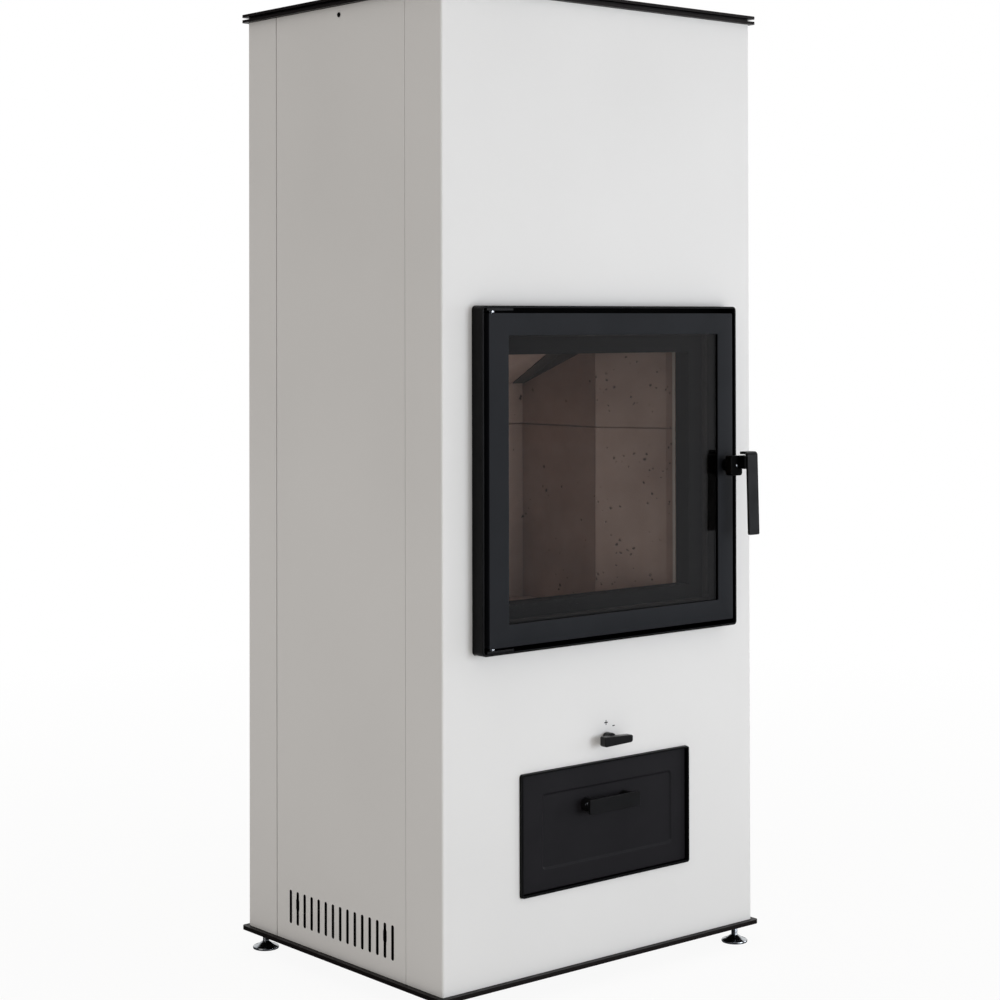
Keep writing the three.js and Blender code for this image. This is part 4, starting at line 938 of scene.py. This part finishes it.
# %% Baffle angles as painted shade, cheek strips as painted highlight
BAFFLE_BACK, BAFFLE_FOOT, BAFFLE_SLOPE = 329, 812, 0.51  # its back end's depth and height in mm
ANGLE_STEEL, CLEARANCE = 1.2, 0.1  # in mm
SIDE_BLOCK_FACE = 0.126
CHEEK_EDGE = (0.1799, 0.1793)


def under_baffle(depth_mm):
    """The height of the baffle's underside, a little below the plate: the height at its back end
    plus the slope times the way from there."""
    return high(BAFFLE_FOOT + (BAFFLE_BACK - depth_mm) * BAFFLE_SLOPE - CLEARANCE)


def angle_section(side, depth_mm, flange, leg):
    """Six corners of an angle in the corner between the side block and the baffle."""
    corners = np.array([(flange, 0), (CLEARANCE, 0), (CLEARANCE, -leg),
                        (ANGLE_STEEL, -leg), (ANGLE_STEEL, -ANGLE_STEEL), (flange, -ANGLE_STEEL)])
    x = side * (SIDE_BLOCK_FACE - corners[:, 0] * MM)
    z = under_baffle(depth_mm) + corners[:, 1] * MM
    return np.stack([x, np.full(6, deep(depth_mm)), z], -1)


for name, side in (("left", -1), ("right", 1)):
    angle = np.stack([angle_section(side, depth_mm=328.5, flange=22, leg=2),
                      angle_section(side, depth_mm=160.5, flange=38, leg=25)])
    piece(f"baffle_angle_{name}", [(angle, False, True)], PAINTED_SHADE_STEEL, [],
          body="stove")
    # Each strip is a painted highlight along the cheek's edge by the door.
    edge_x = sorted(side * x for x in CHEEK_EDGE)
    edge = rounded_rectangle(*edge_x, high(498), high(879), 0.1 * MM, steps=1)
    edge_grid = stacked([edge, edge], [deep(42.2), deep(47)])
    piece(f"painted_highlight_edge_{name}", [(edge_grid, False, True)], PAINTED_HIGHLIGHT_STONE, [],
          body="stove")

# %% [markdown]
# ## The slots in the sheets
#
# Rows of fifteen slots let room air in at the foot of the side panels and of the rear casing, and
# out at its head. The sheet's cut edges round them lie in deep shade, and a copy of each sheet
# paints them black as painted shade. On the side panels each slot is opened by a quarter of its
# width about its middle, as its punched edges are rolled inwards.


# %% Slotted sheets
FOOT_ROW, HEAD_ROW = (25.9, 75.1), (1285.9, 1335.1)
SLOT_PITCH, SLOT_REACH = 17.6 * MM, 2.7 * MM  # a slot's points lie nearer its middle than the reach
MARGIN = 5 * MM  # no slot comes nearer to the sheet's edges


def slotted_sheet(node, rows, across, spread, trim):
    """A copy of a sheet whose slots lie side by side along the axis across (0 is x, 1 is y): their
    points move to spread times their distance from the slot's middle, and their walls are painted
    black as shade.
    The sheet's two edges across are drawn in by trim, so that the seams show."""
    mesh = frame["nodes"][node].data.copy()
    points = np.empty(len(mesh.vertices) * 3)
    mesh.vertices.foreach_get("co", points)
    points = points.reshape(-1, 3)
    low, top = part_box(node)[0][across] + MARGIN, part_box(node)[1][across] - MARGIN

    def in_a_row(place):
        """True for places between a row's foot and head, and clear of the sheet's edges."""
        height, way = place[..., 2], place[..., across]
        in_rows = [(height > high(foot)) & (height < high(head)) for foot, head in rows]
        return np.any(in_rows, axis=0) & (way > low) & (way < top)

    inside = in_a_row(points)
    way = points[inside, across]
    middle = (way.min() + way.max()) / 2
    centre = middle + np.round((way - middle) / SLOT_PITCH) * SLOT_PITCH
    near = np.abs(way - centre) < SLOT_REACH
    points[inside, across] = np.where(near, centre + spread * (way - centre), way)
    points[:, across] = np.clip(points[:, across], low - MARGIN + trim, top + MARGIN - trim)
    mesh.vertices.foreach_set("co", points.ravel())
    made = dress(f"{node}_slotted", mesh, CASING, [node])
    made.data.materials.append(PAINTED_SHADE_BLACK)
    places = np.array([face.center[:] for face in mesh.polygons])
    outward = np.array([face.normal[1 - across] for face in mesh.polygons])
    # The slots' walls take the second material: black, as painted shade.
    black = in_a_row(places) & (np.abs(outward) < 0.5)
    mesh.polygons.foreach_set("material_index", black.astype(np.int32))
    print(node, "has", int(black.sum()), "black slot faces")


for node_name in ("side_panel_left", "side_panel_right"):
    slotted_sheet(node_name, [FOOT_ROW], across=1, spread=1.25, trim=0.25 * MM)
slotted_sheet("rear_casing", [FOOT_ROW, HEAD_ROW], across=0, spread=1.0, trim=0.0)

# %% [markdown]
# ## The hinges
#
# Above and below the leaf a black plate reaches out of the gap, and a zinc pin with a washer goes
# through it into the leaf. Only the washer's rim and the pin's end show, as a bright point.


# %% Hinges
HINGE_PLATE, PIN, WASHER, PIN_X, PIN_Y = 3 * MM, 3 * MM, 5.5 * MM, -0.226, deep(-14)
UNEASED = 1e-5  # an ease too small to see, for corners that stay sharp


def hinge(end, node):
    """A plate against the rim and a turned pin whose washer lies between the plate and the leaf.
    The end is 1 above the leaf and -1 below it."""
    (x0, y0, z0), (x1, y1, z1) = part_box(node)
    plate_z = (z1 - HINGE_PLATE, z1) if end > 0 else (z0, z0 + HINGE_PLATE)
    plate = rounded_rectangle(x0, x1, plate_z[0], plate_z[1], 0.4 * MM, 2)
    piece(f"{node}_plate", [(stacked([plate, plate], [y0, y1]), False, True)], BLACK, [node])
    washer, leaf_edge, foot = (plate_z[0], leaf_z1, z0) if end > 0 else (plate_z[1], leaf_z0, z1)
    near = leaf_edge + end * 0.5 * MM
    corners = [(0, foot), (PIN, foot), (PIN, near), (WASHER, near), (WASHER, washer), (0, washer)]
    profile = eased(corners, [UNEASED, 0.3 * MM, UNEASED, 0.5 * MM, 0.5 * MM, UNEASED])
    turned = lathed(profile, (PIN_X, PIN_Y, 0), "z", 40)
    piece(f"{node}_pin", [(turned, False, False)], ZINC, [], body="stove")


hinge(1, "hinge_bracket_top")
hinge(-1, "hinge_bracket_bottom")

# %% [markdown]
# ## The marks by the air knob
#
# A plus and a minus are printed on the casing beside the knob, to say which way gives more air.
# They are thin films of dark ink, so each is a flat outline that stands a tenth of a millimetre
# proud of the paint.

# %% Plus and minus
INK = black_powder_coat("dark_ink", "#101012", roughness=0.6, gloss=0.1)
INK_FRONT, INK_BACK = deep(-0.1), deep(0.05)


def cross(reach, half_width):
    """The outline of a plus, twelve corners going round: three of them, turned by quarter turns."""
    quarter = np.array([[reach, -half_width], [reach, half_width], [half_width, half_width]])
    turn = np.array([[0, 1], [-1, 0]])
    return np.concatenate([quarter @ np.linalg.matrix_power(turn, k) for k in range(4)])


plus = cross(reach=3.4 * MM, half_width=0.75 * MM) + [0, high(334.1)]
minus = np.array([[2.2, -0.7], [2.2, 0.7], [-2.2, 0.7], [-2.2, -0.7]]) * MM + [0.0147, high(328.1)]
for mark_name, mark in (("plus_mark", plus), ("minus_mark", minus)):
    grid = stacked([mark, mark], [INK_FRONT, INK_BACK])
    piece(mark_name, [(grid, False, True)], INK, [], body="stove")

# %% [markdown]
# ## Studio
#
# The picture was taken in front of a white sweep, a paper roll that runs down the wall and over the
# floor. The room behind the camera is dim, with a window to the right, and that is what the black
# paint and the glass mirror.
# So the world and the floor are white to camera rays and to rays that have only gone through clear
# glass. Mirrored rays meet white on the sweep's side and the room's tones elsewhere. Rays that only
# carry light meet something softer: a glow from the ceiling, and the paper as the lamps light it.


# %% World and floor
SWEEP_WHITE, ROOM_TONE, WINDOW_TONE, LIT_FLOOR_TONE = "#ffffff", "#434448", "#bcbcbe", "#7c7d80"
CEILING_TONE, CEILING_TINT, PAPER_WHITE = "#c6c6c8", "#fffbf7", "#f2f1ef"
FLOOR_RADIUS, FLOOR_SIDES = 14, 96


def towards_sweep(tree, place):
    """How far a direction or a place lies on the sweep's side: its dot product with the view."""
    view = (math.sin(YAW), math.cos(YAW), 0)
    product = add(tree, "ShaderNodeVectorMath", {0: place, 1: view}, operation="DOT_PRODUCT")
    return product.outputs["Value"]


def either(tree, first, second):
    """The greater of two flags or shares, so one where either of them is one."""
    return add(tree, "ShaderNodeMath", {0: first, 1: second}, operation="MAXIMUM").outputs["Value"]


def sweep_or_room(tree, sweep, room):
    """The tone that rays meet which see rather than light: white to rays straight from the camera
    or through clear glass, and to the others white on the sweep and the room's tone elsewhere. A
    ray is through clear glass alone where neither a matt nor a mirroring bounce came before. The
    two flags tell whether a ray is a straight one, and whether it is mirrored or refracted."""
    path = add(tree, "ShaderNodeLightPath").outputs
    bounces = add(tree, "ShaderNodeMath", {0: path["Diffuse Depth"], 1: path["Glossy Depth"]},
                  operation="ADD").outputs["Value"]
    unturned = add(tree, "ShaderNodeMath", {0: bounces, 1: 0.5}, operation="LESS_THAN")
    through = add(tree, "ShaderNodeMath",
                  {0: path["Is Transmission Ray"], 1: unturned.outputs["Value"]},
                  operation="MULTIPLY")
    straight = either(tree, path["Is Camera Ray"], through.outputs["Value"])
    tone = two_tone(tree, either(tree, straight, sweep), room, SWEEP_WHITE)
    return tone, straight, either(tree, path["Is Glossy Ray"], path["Is Transmission Ray"])


def studio_world():
    """Sweep and room to every ray that sees, and to the others a glow that grows upwards."""
    world = bpy.data.worlds.new("studio")
    bpy.context.scene.world = world
    world.use_nodes = True
    tree = world.node_tree
    tree.nodes.clear()
    way = add(tree, "ShaderNodeTexCoord").outputs["Generated"]
    heading = add(tree, "ShaderNodeSeparateXYZ", {"Vector": way}).outputs
    height = heading["Z"]
    walls = two_tone(tree, between(tree, heading["X"], 0, 1, 0.55, 1.0), ROOM_TONE, WINDOW_TONE)
    room = two_tone(tree, between(tree, height, 0, 1, 0.35, 0.7), walls, CEILING_TONE)
    sweep = between(tree, towards_sweep(tree, way), 0, 1, 0.6, 0.8)
    tone, straight, mirrored = sweep_or_room(tree, sweep, room)
    shown = add(tree, "ShaderNodeBackground", {"Color": tone, "Strength": 1.0})
    glow = add(tree, "ShaderNodeBackground", {
        "Color": linear(CEILING_TINT), "Strength": between(tree, height, 0.24, 0.74, 0, 1)})
    mix = add(tree, "ShaderNodeMixShader", {0: either(tree, straight, mirrored)})
    tree.links.new(glow.outputs["Background"], mix.inputs[1])
    tree.links.new(shown.outputs["Background"], mix.inputs[2])
    out = add(tree, "ShaderNodeOutputWorld")
    tree.links.new(mix.outputs["Shader"], out.inputs["Surface"])


def studio_floor():
    """A wide disc of paper. To the camera most of it is plain white and the rest is lit paper,
    which takes the shadow; the white share grows from 0.93 to 1 between 0.6 m and 3 m from the
    stove's middle."""
    mesh = bpy.data.meshes.new("studio_floor")
    turn = np.linspace(0, 2 * np.pi, FLOOR_SIDES, endpoint=False)
    disc = np.stack([FLOOR_RADIUS * np.cos(turn), FLOOR_RADIUS * np.sin(turn),
                     np.zeros(FLOOR_SIDES)], -1)
    mesh.from_pydata(disc.tolist(), [], [list(range(FLOOR_SIDES))])
    floor = bpy.data.objects.new("studio_floor", mesh)
    bpy.context.scene.collection.objects.link(floor)
    material, tree, place, surface = new_finish("paper_sweep")
    sweep = between(tree, towards_sweep(tree, place), 0, 1, 0.0, 1.5)
    side = add(tree, "ShaderNodeSeparateXYZ", {"Vector": place}).outputs["X"]
    room_floor = two_tone(tree, between(tree, side, 0, 1, 0.8, 3.5), ROOM_TONE, LIT_FLOOR_TONE)
    tone, straight, mirrored = sweep_or_room(tree, sweep, room_floor)
    radius = add(tree, "ShaderNodeVectorMath", {0: place}, operation="LENGTH").outputs["Value"]
    white_share = between(tree, radius, 0.93, 1.0, 0.6, 3.0)
    plain = add(tree, "ShaderNodeMath", {0: straight, 1: white_share}, operation="MULTIPLY")
    share = either(tree, plain.outputs["Value"], mirrored)
    paper = add(tree, "ShaderNodeBsdfDiffuse", {"Color": linear(PAPER_WHITE)})
    shown = add(tree, "ShaderNodeEmission", {"Color": tone, "Strength": 1.0})
    mix = add(tree, "ShaderNodeMixShader", {0: share})
    tree.links.new(paper.outputs["BSDF"], mix.inputs[1])
    tree.links.new(shown.outputs["Emission"], mix.inputs[2])
    tree.links.new(mix.outputs["Shader"], surface)
    paint(floor, material)


def soft_light(name, place, aim, size, watts, colour):
    """A square softbox at place, turned so that it faces aim."""
    lamp = bpy.data.lights.new(name, "AREA")
    lamp.shape, lamp.size, lamp.energy, lamp.color = "SQUARE", size, watts, linear(colour)[:3]
    box = bpy.data.objects.new(name, lamp)
    away = np.array(place, float) - aim
    across = np.cross([0, 0, 1], away)
    across /= np.linalg.norm(across)
    away /= np.linalg.norm(away)
    turned = Matrix(np.stack([across, np.cross(away, across), away], 1).tolist()).to_4x4()
    box.matrix_world = Matrix.Translation(place) @ turned
    bpy.context.scene.collection.objects.link(box)
    print(name, "gives", watts, "W")


studio_world()
studio_floor()
soft_light("front_softbox", (1.85, -5.35, 1.15), aim=(0, 0, 0.5),
           size=2.2, watts=91, colour="#f3f8ff")
soft_light("window_light", (5.2, -2.4, 0.9), aim=(0, 0, 0.6),
           size=2.0, watts=42, colour="#f6f9ff")
soft_light("left_softbox", (-5.5, -0.6, 1.5), aim=(0, 0, 0.6),
           size=3.0, watts=20.3, colour="#fff7f2")
soft_light("low_fill", (0.1, -2.3, 0.25), aim=(0, -0.25, 0.3),
           size=1.0, watts=6.0, colour="#f8fbff")
